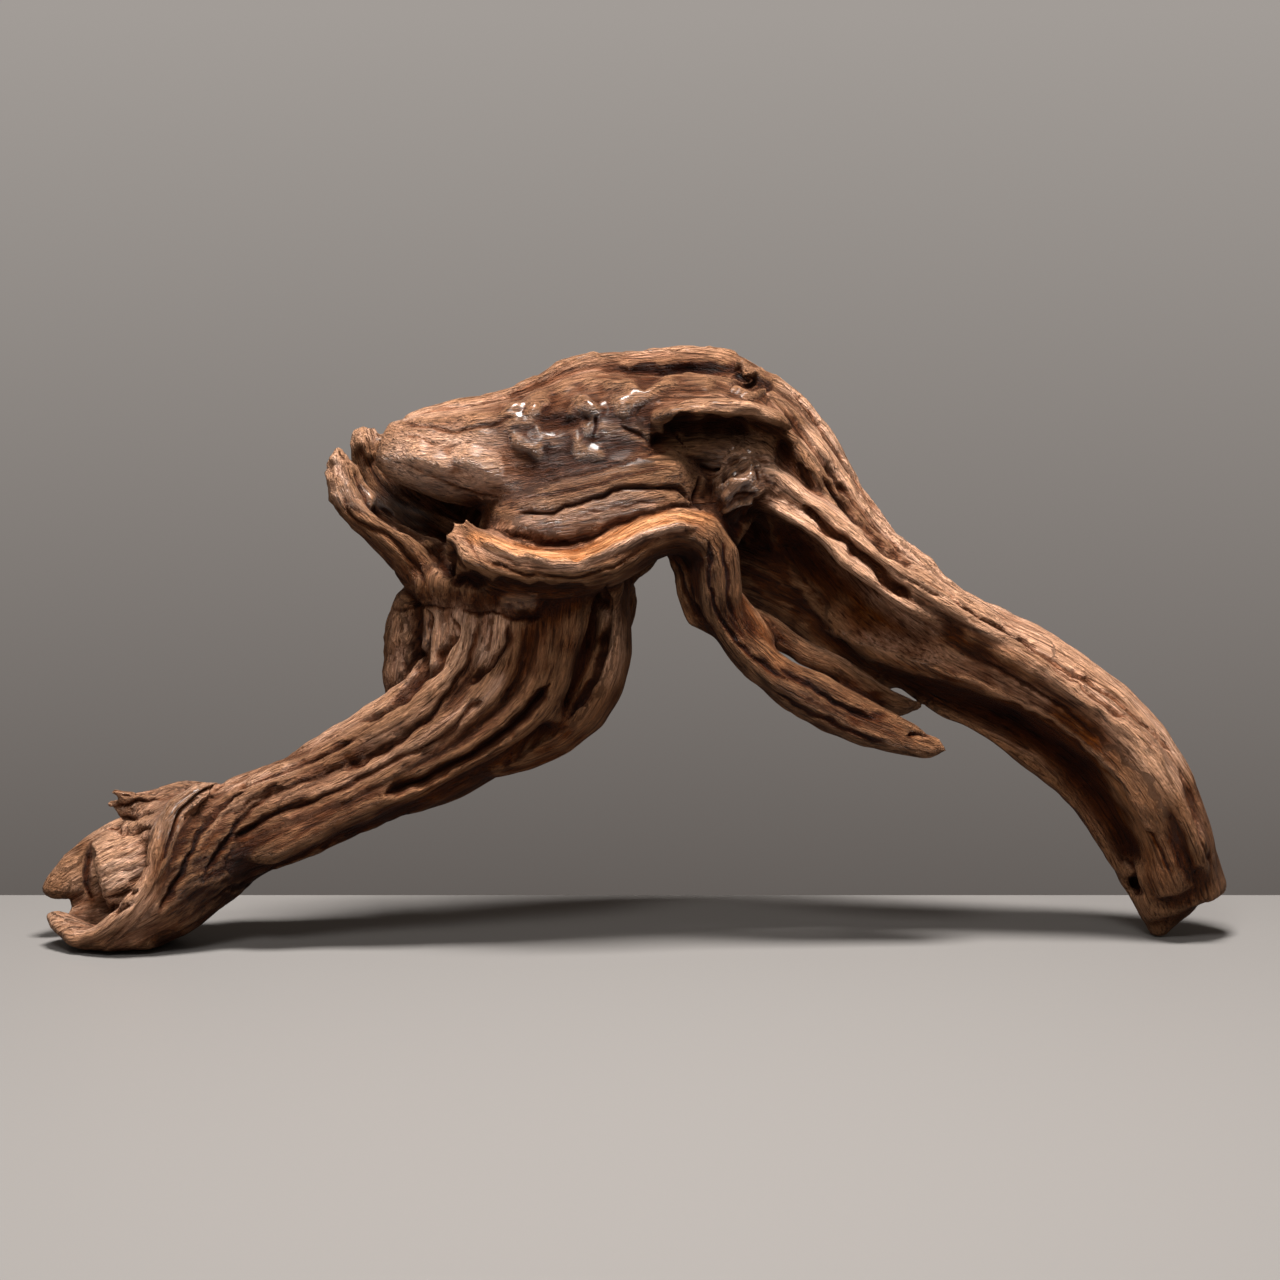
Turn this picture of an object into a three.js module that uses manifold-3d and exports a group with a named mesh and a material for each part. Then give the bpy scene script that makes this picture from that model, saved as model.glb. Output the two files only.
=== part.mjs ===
// Driftwood: one weathered root, grown in one piece and worn by water.
// It stands as a low arch on a hollow, scooped foot at the left and on a pointed tip at the right.
// A twisted trunk rises from the foot to a swollen hub. The hub carries a forked prong, a broad
// hollowed crown and a shelf that curls down into a hanging tendril, and the crown runs on into
// a long leg that is open underneath like a gutter.
//
// Units are millimetres, +Z up, +X along the arch to the pointed tip, -Y towards the front.
// The solid is a union of limbs with hollows cut out of it. A limb is a loft along a curve
// through its stations. Each station is [x, y, z, across, deep]: the centre, the half width in
// the XZ plane and the half depth of the section there.
import * as THREE from "three";
import Module from "manifold-3d";

const wasm = await Module();
wasm.setup();

// Driving dimensions
const STEP = 16; // length of one loft step along a limb
const STRAND_STEP = 14; // the same along thin strands
const HOLLOW_STEP = 18; // the same along the cutters
const SIDES = { trunk: 19, limb: 11, strand: 7, hollow: 9 };
const STRAND_TAPER = 16; // a strand narrows to its ends over this length
const SMALLEST_END = 0.2; // share of a strand's size that is left at its very end
const FLOOR_CUT = 40; // height of the block that trims what would reach below the floor

const DEPTH_AXIS = new THREE.Vector3(0, 1, 0);

// Lofts a closed solid through the stations. `flutes` furrows of share `furrow` run along the
// limb and turn by `twist` degrees over its length. `lumps` makes the section slightly uneven,
// `square` under 1 flattens its four sides, `roll` turns it about the limb, and `taper` is the
// length over which both ends narrow.
function limb(stations, options = {}) {
  const { sides = SIDES.limb, step = STEP, flutes = 0, furrow = 0, twist = 0 } = options;
  const { lumps = 0.04, square = 1, roll = 0, taper = 0 } = options;
  const centres = stations.map(([x, y, z]) => new THREE.Vector3(x, y, z));
  const path = new THREE.CatmullRomCurve3(centres, false, "centripetal");
  const length = path.getLength();
  const steps = Math.max(3, Math.round(length / step));
  const positions = [];
  for (let i = 0; i <= steps; i++) {
    const t = i / steps;
    const centre = path.getPoint(t);
    const tangent = path.getTangent(t);
    const acrossAxis = new THREE.Vector3(-tangent.z, 0, tangent.x).normalize();
    const deepAxis = new THREE.Vector3().crossVectors(acrossAxis, tangent).normalize();
    if (deepAxis.dot(DEPTH_AXIS) < 0) throw new Error("a limb runs back along its own depth axis");
    const turn = THREE.MathUtils.degToRad(roll);
    acrossAxis.applyAxisAngle(tangent, turn);
    deepAxis.applyAxisAngle(tangent, turn);
    const narrowing = endShare(length * Math.min(t, 1 - t), taper);
    const [across, deep] = halfSizes(stations, t).map((size) => size * narrowing);
    for (let k = 0; k < sides; k++) {
      const angle = (2 * Math.PI * k) / sides;
      const turned = angle + THREE.MathUtils.degToRad(twist) * t;
      const flute = 1 - (flutes > 0 ? furrow * (0.5 + 0.5 * Math.cos(flutes * turned)) : 0);
      const lump = 1 + lumps * Math.sin(3 * angle + centre.x / 13) * Math.cos(2 * angle - centre.z / 17);
      const point = centre.clone();
      point.addScaledVector(acrossAxis, across * flute * lump * squared(Math.cos(angle), square));
      point.addScaledVector(deepAxis, deep * flute * lump * squared(Math.sin(angle), square));
      positions.push(...point.toArray());
    }
  }
  const firstCap = positions.length / 3;
  positions.push(...path.getPoint(0).toArray(), ...path.getPoint(1).toArray());
  return solid(positions, loftFaces(sides, steps, firstCap));
}

// The half width and half depth at share t of the way through the stations.
function halfSizes(stations, t) {
  const place = t * (stations.length - 1);
  const before = Math.min(Math.floor(place), stations.length - 2);
  const linear = place - before;
  const share = (linear + THREE.MathUtils.smoothstep(linear, 0, 1)) / 2;
  return [3, 4].map((j) => THREE.MathUtils.lerp(stations[before][j], stations[before + 1][j], share));
}

// The share of its full size that a limb has at this distance from its end.
function endShare(distance, taper) {
  return distance < taper ? Math.max(SMALLEST_END, Math.sqrt(distance / taper)) : 1;
}

// A cosine or sine pushed out towards a square.
function squared(value, power) {
  return Math.sign(value) * Math.abs(value) ** power;
}

// Triangles of a loft: `steps` bands of quads and a fan at each end.
function loftFaces(sides, steps, firstCap) {
  const faces = [];
  for (let i = 0; i < steps; i++) {
    for (let k = 0; k < sides; k++) {
      const a = i * sides + k;
      const b = i * sides + ((k + 1) % sides);
      faces.push(a, a + sides, b, b, a + sides, b + sides);
    }
  }
  const lastRing = steps * sides;
  for (let k = 0; k < sides; k++) {
    const next = (k + 1) % sides;
    faces.push(firstCap, k, next, firstCap + 1, lastRing + next, lastRing + k);
  }
  return faces;
}

function solid(positions, faces) {
  return new wasm.Manifold(
    new wasm.Mesh({
      numProp: 3,
      vertProperties: new Float32Array(positions),
      triVerts: new Uint32Array(faces),
    }),
  );
}

const strand = (stations, options = {}) =>
  limb(stations, { sides: SIDES.strand, step: STRAND_STEP, lumps: 0.08, taper: STRAND_TAPER, ...options });
const hollow = (stations, options = {}) =>
  limb(stations, { sides: SIDES.hollow, step: HOLLOW_STEP, lumps: 0.05, ...options });
const joined = (solids) => solids.reduce((sum, next) => sum.add(next));

// The left leg: a fluted, twisted trunk from the foot up into the swollen hub.
function trunkAndHub() {
  const trunk = limb(
    [
      [-238, -8, 40, 27, 33],
      [-215, -7, 51, 28, 31],
      [-180, -5, 64, 26, 29],
      [-145, -2, 79, 26, 30],
      [-108, 2, 96, 30, 35],
      [-79, 5, 123, 40, 42],
      [-64, 6, 150, 53, 44],
      [-60, 6, 180, 52, 38],
    ],
    { sides: 21, flutes: 7, furrow: 0.09, twist: -70 },
  );
  const rightLobe = limb([
    [-18, 8, 192, 9, 20],
    [-15, 2, 166, 11, 28],
    [-16, 0, 144, 12, 30],
    [-27, -2, 121, 14, 30],
    [-47, -4, 104, 13, 27],
    [-76, -4, 92, 10, 22],
  ]);
  const leftLobe = limb(
    [
      [-106, 4, 186, 9, 14],
      [-114, 4, 171, 10, 16],
      [-117, 4, 157, 11, 17],
      [-118, 4, 144, 10, 15],
      [-121, 4, 131, 9, 13],
      [-127, 4, 118, 4, 8],
    ],
    { taper: 8 },
  );
  return [trunk, rightLobe, leftLobe];
}

// Heavy strands wrapped round the front of the trunk and the hub.
function trunkStrands() {
  const paths = [
    [
      [-98, -12, 190, 8, 8],
      [-100, -17, 173, 8, 8],
      [-99, -21, 156, 8, 8],
      [-103, -22, 142, 8, 8],
      [-115, -19, 128, 8, 8],
      [-133, -15, 115, 7, 8],
      [-153, -10, 104, 6, 8],
      [-176, -8, 94, 5, 8],
    ],
    [
      [-80, -22, 190, 9, 8],
      [-83, -27, 171, 9, 8],
      [-86, -31, 150, 9, 8],
      [-95, -31, 135, 9, 8],
      [-112, -28, 120, 8, 8],
      [-134, -24, 106, 8, 8],
      [-160, -21, 93, 7, 8],
      [-188, -22, 82, 7, 8],
      [-212, -27, 72, 6, 8],
    ],
    [
      [-60, -30, 188, 10, 8],
      [-63, -34, 168, 10, 8],
      [-67, -36, 145, 10, 8],
      [-79, -36, 127, 9, 8],
      [-98, -34, 111, 9, 8],
      [-120, -31, 97, 8, 8],
      [-146, -29, 82, 8, 8],
      [-172, -28, 71, 6, 8],
    ],
    [
      [-39, -31, 184, 11, 8],
      [-41, -34, 160, 11, 8],
      [-46, -37, 136, 11, 8],
      [-60, -37, 117, 10, 8],
      [-82, -35, 101, 9, 8],
      [-108, -33, 86, 9, 8],
      [-138, -31, 72, 8, 8],
      [-168, -31, 58, 8, 8],
      [-196, -33, 46, 8, 8],
    ],
  ];
  return paths.map((stations) => strand(stations));
}

// The left foot: the trunk's broken end, worn open to the front and the left, with a block of
// fibrous core left standing inside the shell.
function foot() {
  const shell = limb(
    [
      [-176, -5, 66, 14, 16],
      [-202, -7, 56, 26, 30],
      [-228, -9, 42, 32, 38],
      [-250, -9, 28, 32, 43],
      [-272, -8, 19, 24, 40],
      [-290, -6, 17, 11, 28],
    ],
    { sides: 18, lumps: 0.03 },
  );
  const opening = hollow(
    [
      [-262, -42, 88, 18, 27],
      [-264, -39, 66, 23, 28],
      [-266, -37, 46, 26, 29],
      [-273, -35, 31, 26, 29],
      [-285, -33, 22, 22, 27],
      [-306, -31, 19, 12, 22],
    ],
    { sides: 14 },
  );
  const throat = hollow([
    [-244, -8, 38, 12, 14],
    [-262, -8, 35, 19, 22],
    [-282, -10, 31, 21, 24],
    [-306, -16, 29, 22, 24],
  ]);
  const backShell = limb([
    [-226, 20, 58, 12, 11],
    [-248, 20, 51, 15, 9],
    [-265, 18, 43, 16, 8],
    [-278, 13, 35, 15, 8],
    [-290, 6, 28, 11, 7],
    [-298, 1, 25, 6, 5],
    [-301, -1, 24, 2, 3],
  ]);
  const lip = limb([
    [-240, -30, 8, 6, 14],
    [-260, -27, 6, 6, 18],
    [-276, -21, 6, 6, 19],
    [-287, -15, 10, 5, 15],
    [-294, -11, 15, 3, 9],
  ]);
  const core = limb(
    [
      [-226, -8, 42, 19, 20],
      [-244, -11, 40, 21, 20],
      [-258, -13, 38, 20, 19],
      [-270, -14, 35, 18, 16],
    ],
    { square: 0.7, lumps: 0.08, sides: 14, step: 12 },
  );
  const rim = strand([
    [-206, -22, 85, 5, 7],
    [-222, -28, 78, 7, 9],
    [-233, -34, 66, 7, 9],
    [-238, -40, 50, 6, 8],
    [-243, -44, 36, 5, 8],
    [-254, -45, 22, 5, 7],
    [-267, -40, 11, 5, 7],
    [-280, -31, 6, 4, 7],
  ]);
  const stub = strand(
    [
      [-214, 6, 78, 9, 11],
      [-234, 5, 70, 9, 10],
      [-250, 4, 67, 8, 9],
      [-266, 2, 68, 7, 7],
    ],
    { taper: 3, square: 0.8 },
  );
  const backFlake = strand(
    [
      [-176, 16, 86, 5, 8],
      [-192, 18, 88, 6, 7],
      [-208, 18, 88, 5, 7],
      [-224, 17, 86, 4, 6],
    ],
    { taper: 6 },
  );
  return [shell.subtract(opening).subtract(throat), backShell, lip, core, rim, stub, backFlake];
}

// The forked prong at the upper left: a rounded ridge in front of a thin back wall, rising from
// the collar of wood that folds over the top of the hub.
function prong() {
  const collar = limb(
    [
      [-114, -3, 182, 9, 14],
      [-101, -11, 183, 13, 18],
      [-84, -18, 183, 14, 21],
      [-64, -23, 182, 16, 23],
      [-46, -24, 184, 16, 23],
      [-30, -22, 188, 13, 20],
    ],
    { taper: 14 },
  );
  const ridge = limb(
    [
      [-92, -2, 174, 20, 18],
      [-104, -9, 190, 17, 15],
      [-116, -14, 203, 15, 12],
      [-131, -16, 214, 12, 11],
      [-142, -16, 224, 11, 9],
      [-147, -15, 236, 9, 8],
      [-151, -14, 247, 7, 6],
    ],
    { taper: 5 },
  );
  const backWall = limb([
    [-52, 10, 194, 26, 9],
    [-78, 12, 198, 26, 9],
    [-100, 13, 206, 22, 9],
    [-119, 13, 220, 19, 8],
    [-132, 13, 236, 14, 7],
    [-138, 12, 249, 9, 7],
    [-139, 11, 258, 5, 5],
  ]);
  return [collar, ridge, backWall];
}

// The crown and the right leg: one spine from the blunt nose over the top and down to the tip.
function spine() {
  const crown = limb(
    [
      [-127, -10, 251, 12, 9],
      [-118, -11, 248, 17, 15],
      [-100, -11, 245, 22, 22],
      [-76, -9, 244, 26, 29],
      [-48, -5, 246, 31, 34],
      [-18, -3, 251, 33, 37],
      [12, 0, 253, 31, 38],
      [40, 4, 254, 31, 37],
      [63, 7, 243, 28, 34],
      [81, 9, 219, 26, 33],
      [98, 10, 195, 28, 32],
      [122, 10, 169, 30, 31],
      [152, 10, 147, 31, 30],
      [180, 10, 133, 31, 29],
      [208, 10, 117, 32, 28],
      [237, 10, 92, 32, 27],
      [257, 10, 63, 30, 25],
      [268, 10, 38, 26, 22],
      [276, 10, 16, 23, 18],
    ],
    { sides: SIDES.trunk, flutes: 6, furrow: 0.05, twist: 90, square: 0.7 },
  );
  const neck = limb([
    [-58, 8, 168, 46, 30],
    [-46, 7, 192, 40, 28],
    [-26, 6, 214, 42, 27],
    [-4, 4, 240, 40, 26],
  ]);
  const rearRim = limb([
    [-116, 2, 259, 5, 8],
    [-97, 11, 264, 7, 7],
    [-74, 22, 266, 9, 7],
    [-52, 29, 271, 11, 8],
    [-28, 34, 280, 13, 8],
    [2, 38, 283, 13, 8],
    [30, 38, 285, 13, 8],
    [50, 33, 280, 12, 9],
    [69, 24, 264, 11, 10],
  ]);
  const apron = limb([
    [44, 6, 196, 16, 9],
    [66, 8, 187, 24, 10],
    [90, 10, 174, 26, 12],
    [112, 12, 156, 26, 14],
    [136, 12, 142, 22, 14],
  ]);
  const tip = limb(
    [
      [270, 9, 34, 20, 17],
      [268, 8, 20, 16, 14],
      [264, 8, 9, 9, 9],
      [262, 8, -3, 3, 4],
    ],
    { step: 8 },
  );
  return [crown, neck, rearRim, apron, tip];
}

// Heavy strands along the back of the crown, the hub and both legs.
function backStrands() {
  const paths = [
    [
      [50, 38, 260, 9, 10],
      [16, 42, 250, 12, 11],
      [-18, 42, 222, 13, 12],
      [-42, 44, 186, 13, 12],
      [-60, 45, 150, 13, 12],
      [-88, 38, 116, 12, 10],
      [-130, 29, 92, 11, 9],
      [-176, 24, 72, 9, 8],
      [-214, 25, 58, 8, 9],
    ],
    [
      [8, 42, 270, 8, 10],
      [42, 45, 260, 10, 10],
      [71, 44, 230, 11, 11],
      [97, 42, 194, 11, 10],
      [132, 40, 161, 11, 10],
      [180, 38, 130, 11, 9],
      [222, 37, 100, 10, 9],
      [250, 35, 64, 9, 8],
      [266, 31, 34, 7, 7],
    ],
    [
      [-8, 26, 186, 9, 12],
      [-12, 33, 158, 9, 12],
      [-28, 37, 130, 10, 11],
      [-60, 33, 104, 10, 10],
      [-104, 26, 80, 9, 9],
      [-150, 22, 60, 8, 9],
    ],
  ];
  return paths.map((stations) => strand(stations, { sides: 8, step: 18 }));
}

// Spaces worn out of the crown and of the leg.
function hollows() {
  const valley = hollow([
    [-104, 0, 271, 7, 8],
    [-74, 6, 276, 11, 10],
    [-44, 12, 284, 14, 12],
    [-12, 15, 288, 16, 14],
    [20, 16, 290, 16, 14],
    [42, 15, 291, 13, 12],
    [58, 12, 290, 7, 7],
  ]);
  const underLedge = hollow([
    [4, -32, 252, 6, 10],
    [22, -32, 250, 13, 20],
    [42, -30, 248, 17, 25],
    [62, -26, 243, 17, 25],
    [78, -22, 230, 12, 20],
    [90, -18, 214, 6, 14],
  ]);
  const belly = hollow(
    [
      [46, -34, 196, 14, 24],
      [68, -34, 194, 26, 30],
      [92, -34, 178, 27, 30],
      [118, -34, 160, 21, 26],
      [150, -38, 146, 12, 20],
    ],
    { sides: 14 },
  );
  const gutter = hollow(
    [
      [84, -26, 146, 12, 24],
      [112, -23, 134, 12, 26],
      [148, -22, 122, 12, 27],
      [180, -20, 111, 12, 27],
      [207, -18, 95, 12, 26],
      [226, -16, 74, 11, 25],
      [240, -13, 53, 10, 23],
      [248, -11, 38, 7, 21],
    ],
    { sides: 12 },
  );
  const legSlot = hollow([
    [247, 0, 33, 2, 40],
    [249, 2, 28, 3, 44],
    [251, 2, 22, 2, 44],
  ]);
  const strandGap = hollow([
    [84, -12, 247, 3, 10],
    [99, -12, 229, 5, 13],
    [112, -12, 212, 5, 13],
    [126, -11, 199, 4, 10],
    [140, -10, 188, 2, 6],
  ]);
  const noseGap = hollow([
    [-128, -16, 226, 8, 18],
    [-108, -16, 213, 8, 20],
    [-88, -16, 205, 8, 18],
    [-76, -16, 202, 6, 14],
  ]);
  return [valley, underLedge, belly, gutter, legSlot, strandGap, noseGap];
}

// The shelf across the front, the tendril that it curls down into, and the wood behind them.
function shelfAndTendril() {
  const shelf = limb(
    [
      [-93, -35, 205, 8, 7],
      [-85, -38, 202, 12, 11],
      [-76, -41, 197, 12, 14],
      [-64, -43, 192, 10, 16],
      [-48, -45, 190, 9, 17],
      [-30, -46, 190, 8, 17],
      [-14, -45, 195, 9, 16],
      [-2, -43, 203, 9, 15],
      [12, -41, 210, 9, 14],
      [26, -39, 210, 10, 12],
      [36, -37, 201, 11, 11],
      [38, -37, 184, 10, 10],
      [40, -36, 171, 10, 9],
      [45, -35, 160, 9, 9],
      [55, -33, 149, 9, 9],
      [69, -31, 136, 10, 9],
      [84, -29, 128, 12, 8],
      [96, -27, 121, 12, 8],
      [108, -26, 115, 12, 7],
      [120, -25, 110, 11, 7],
      [131, -25, 106, 9, 6],
      [142, -25, 102, 6, 5],
      [149, -25, 101, 3, 3],
    ],
    { step: 12, sides: 11, square: 0.6, roll: -20 },
  );
  const backing = limb([
    [-30, -12, 200, 14, 24],
    [-6, -14, 206, 14, 24],
    [14, -14, 215, 16, 22],
    [34, -14, 217, 18, 20],
    [50, -12, 206, 14, 18],
  ]);
  const band = limb(
    [
      [-80, -20, 210, 7, 11],
      [-62, -23, 215, 15, 17],
      [-36, -25, 220, 21, 21],
      [-10, -25, 226, 22, 23],
      [12, -24, 230, 21, 22],
      [32, -22, 231, 16, 18],
    ],
    { taper: 5, square: 0.7 },
  );
  const flake = strand([
    [11, -24, 206, 7, 8],
    [20, -27, 197, 8, 8],
    [25, -28, 187, 8, 8],
    [25, -29, 175, 8, 7],
    [30, -29, 164, 8, 7],
    [39, -30, 155, 6, 6],
  ]);
  const spur = strand([
    [47, -28, 182, 4, 9],
    [54, -26, 168, 5, 9],
    [61, -26, 157, 5, 8],
    [68, -27, 145, 4, 7],
  ]);
  const tie = strand([
    [48, -16, 172, 8, 8],
    [64, -16, 159, 8, 7],
    [80, -15, 148, 7, 7],
    [96, -14, 141, 7, 7],
    [110, -12, 131, 8, 8],
    [124, -8, 122, 7, 9],
    [142, 2, 118, 6, 9],
  ]);
  return [shelf, backing, band, flake, spur, tie];
}

// Ropes of harder wood that stand proud along the crown's right shoulder and down the leg.
function ropes() {
  const ledge = strand(
    [
      [4, -34, 266, 3, 8],
      [20, -37, 269, 3, 12],
      [40, -37, 269, 4, 12],
      [60, -33, 268, 4, 11],
      [76, -26, 258, 4, 10],
    ],
    { taper: 10 },
  );
  const knob = strand([
    [36, -20, 216, 9, 11],
    [45, -25, 228, 13, 14],
    [55, -26, 236, 11, 12],
    [66, -25, 236, 7, 10],
    [76, -25, 227, 6, 10],
    [88, -26, 219, 6, 10],
    [102, -26, 207, 6, 10],
    [118, -25, 195, 7, 11],
    [140, -21, 180, 8, 12],
    [165, -15, 165, 9, 13],
    [196, -9, 148, 8, 12],
  ]);
  const lowRope = strand([
    [56, -24, 225, 5, 9],
    [74, -29, 217, 4, 9],
    [88, -31, 208, 4, 9],
    [100, -32, 196, 4, 9],
    [115, -30, 184, 4, 9],
    [130, -27, 173, 4, 9],
    [150, -22, 161, 4, 8],
  ]);
  const shoulder = strand([
    [66, -12, 266, 6, 10],
    [78, -13, 249, 6, 10],
    [88, -15, 234, 6, 10],
    [99, -16, 220, 6, 10],
    [111, -17, 205, 6, 10],
    [127, -16, 193, 6, 10],
    [150, -13, 180, 6, 10],
  ]);
  const middle = strand([
    [56, -2, 279, 6, 10],
    [73, -1, 264, 6, 10],
    [87, 0, 249, 6, 10],
    [100, 1, 232, 6, 10],
    [112, 2, 216, 6, 10],
    [125, 3, 203, 6, 10],
    [140, 4, 192, 6, 10],
    [153, 4, 182, 4, 8],
  ]);
  const outer = strand([
    [52, 12, 288, 6, 10],
    [70, 13, 276, 6, 10],
    [86, 13, 260, 6, 10],
    [98, 13, 242, 6, 9],
    [108, 13, 227, 5, 8],
    [119, 13, 214, 4, 7],
    [129, 12, 206, 3, 4],
  ]);
  const frontRidge = strand([
    [150, -16, 166, 7, 10],
    [180, -17, 149, 7, 10],
    [210, -17, 130, 7, 10],
    [238, -16, 108, 7, 10],
    [260, -15, 83, 7, 10],
    [274, -13, 58, 7, 10],
    [284, -8, 32, 6, 10],
  ]);
  return [ledge, knob, lowRope, shoulder, middle, outer, frontRidge];
}

// The whole root, standing on the floor with everything below the floor cut away flat.
function wholeRoot() {
  const legs = [...trunkAndHub(), ...trunkStrands(), ...foot(), ...spine()];
  const grown = joined([...legs, ...prong(), ...backStrands()]);
  const worn = hollows().reduce((left, cutter) => left.subtract(cutter), grown);
  const complete = joined([worn, ...shelfAndTendril(), ...ropes()]);
  const floor = new THREE.BoxGeometry(1000, 600, FLOOR_CUT).translate(0, 0, -FLOOR_CUT / 2);
  return complete.subtract(fromGeometry(floor.toNonIndexed()));
}

// A manifold-3d solid of a three.js geometry, with its shared corners merged.
function fromGeometry(geometry) {
  const seen = new Map();
  const positions = [];
  const corners = geometry.getAttribute("position");
  const faces = [];
  for (let i = 0; i < corners.count; i++) {
    const corner = [corners.getX(i), corners.getY(i), corners.getZ(i)];
    const key = corner.join();
    if (!seen.has(key)) {
      seen.set(key, positions.length / 3);
      positions.push(...corner);
    }
    faces.push(seen.get(key));
  }
  return solid(positions, faces);
}

function toGeometry(manifold) {
  const mesh = manifold.getMesh();
  const geometry = new THREE.BufferGeometry();
  geometry.setAttribute("position", new THREE.BufferAttribute(mesh.vertProperties, mesh.numProp));
  geometry.setIndex(new THREE.BufferAttribute(mesh.triVerts, 1));
  geometry.computeVertexNormals();
  return geometry;
}

// The largest of the closed pieces: nothing loose is left over from the cuts.
function largestPiece(manifold) {
  const pieces = manifold.decompose();
  return pieces.reduce((best, piece) => (piece.volume() > best.volume() ? piece : best));
}

const root = largestPiece(wholeRoot());
const geometry = toGeometry(root);
geometry.computeBoundingBox();
const middle = geometry.boundingBox.getCenter(new THREE.Vector3());
geometry.translate(-middle.x, -middle.y, -geometry.boundingBox.min.z);

const driftwood = new THREE.Mesh(
  geometry,
  new THREE.MeshStandardMaterial({ color: 0x8a5a3c, roughness: 0.62, metalness: 0 }),
);
driftwood.name = "driftwood";

const group = new THREE.Group();
group.add(driftwood);
export default group;
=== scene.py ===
import math

import bmesh
import bpy
import numpy as np
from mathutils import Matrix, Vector
from mathutils.bvhtree import BVHTree


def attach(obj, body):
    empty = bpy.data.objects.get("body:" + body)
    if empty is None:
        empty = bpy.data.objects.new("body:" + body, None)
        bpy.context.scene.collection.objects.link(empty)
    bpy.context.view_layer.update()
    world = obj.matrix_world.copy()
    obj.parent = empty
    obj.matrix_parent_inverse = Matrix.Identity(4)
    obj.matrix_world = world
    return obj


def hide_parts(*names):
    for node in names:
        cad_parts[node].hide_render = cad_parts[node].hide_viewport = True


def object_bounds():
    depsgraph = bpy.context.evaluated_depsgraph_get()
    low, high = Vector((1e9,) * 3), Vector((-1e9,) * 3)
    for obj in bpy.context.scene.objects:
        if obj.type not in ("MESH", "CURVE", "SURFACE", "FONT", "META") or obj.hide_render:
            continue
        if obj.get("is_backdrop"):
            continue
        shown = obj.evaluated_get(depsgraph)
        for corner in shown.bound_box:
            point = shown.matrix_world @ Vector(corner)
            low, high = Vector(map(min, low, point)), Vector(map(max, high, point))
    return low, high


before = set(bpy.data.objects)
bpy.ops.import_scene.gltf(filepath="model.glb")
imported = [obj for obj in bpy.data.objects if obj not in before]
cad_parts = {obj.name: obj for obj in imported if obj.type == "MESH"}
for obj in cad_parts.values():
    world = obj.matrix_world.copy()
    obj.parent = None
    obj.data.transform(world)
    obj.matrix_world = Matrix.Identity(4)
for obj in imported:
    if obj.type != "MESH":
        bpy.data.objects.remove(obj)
cad_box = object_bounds()
bpy.ops.object.select_all(action="DESELECT")

# ------------------------------------------------------------
# The body of the root. It grew in one piece, so one closed skin is made: a copy of the
# solid, with its broken fibre ends added as splinters, fused and softened like worn wood.
# ------------------------------------------------------------

MM = 0.001
# The root is drawn in millimetres, and this is the drawing's point under the box's middle.
DRAWN_MIDDLE = np.array([-2.3, -2.6, 0.0])


def placed(points):
    """Points of the drawing, in millimetres, as places in the model, in metres."""
    return (np.asarray(points, float)[..., :3] - DRAWN_MIDDLE) * MM


def splinter(start, end, thick, blunt=0.45):
    """A stick of wood, as a cone from its root to its tip, which is `blunt` times as thick."""
    a, b = Vector(placed(start)), Vector(placed(end))
    bpy.ops.mesh.primitive_cone_add(
        vertices=7,
        radius1=thick * MM,
        radius2=thick * MM * blunt,
        depth=(b - a).length,
        location=(a + b) / 2,
        rotation=(b - a).to_track_quat("Z", "Y").to_euler(),
    )
    cone = bpy.context.active_object
    bpy.ops.object.transform_apply(location=True, rotation=True, scale=True)
    return cone


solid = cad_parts["driftwood"]
wood = bpy.data.objects.new("weathered_root", solid.data.copy())
bpy.context.scene.collection.objects.link(wood)

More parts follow.
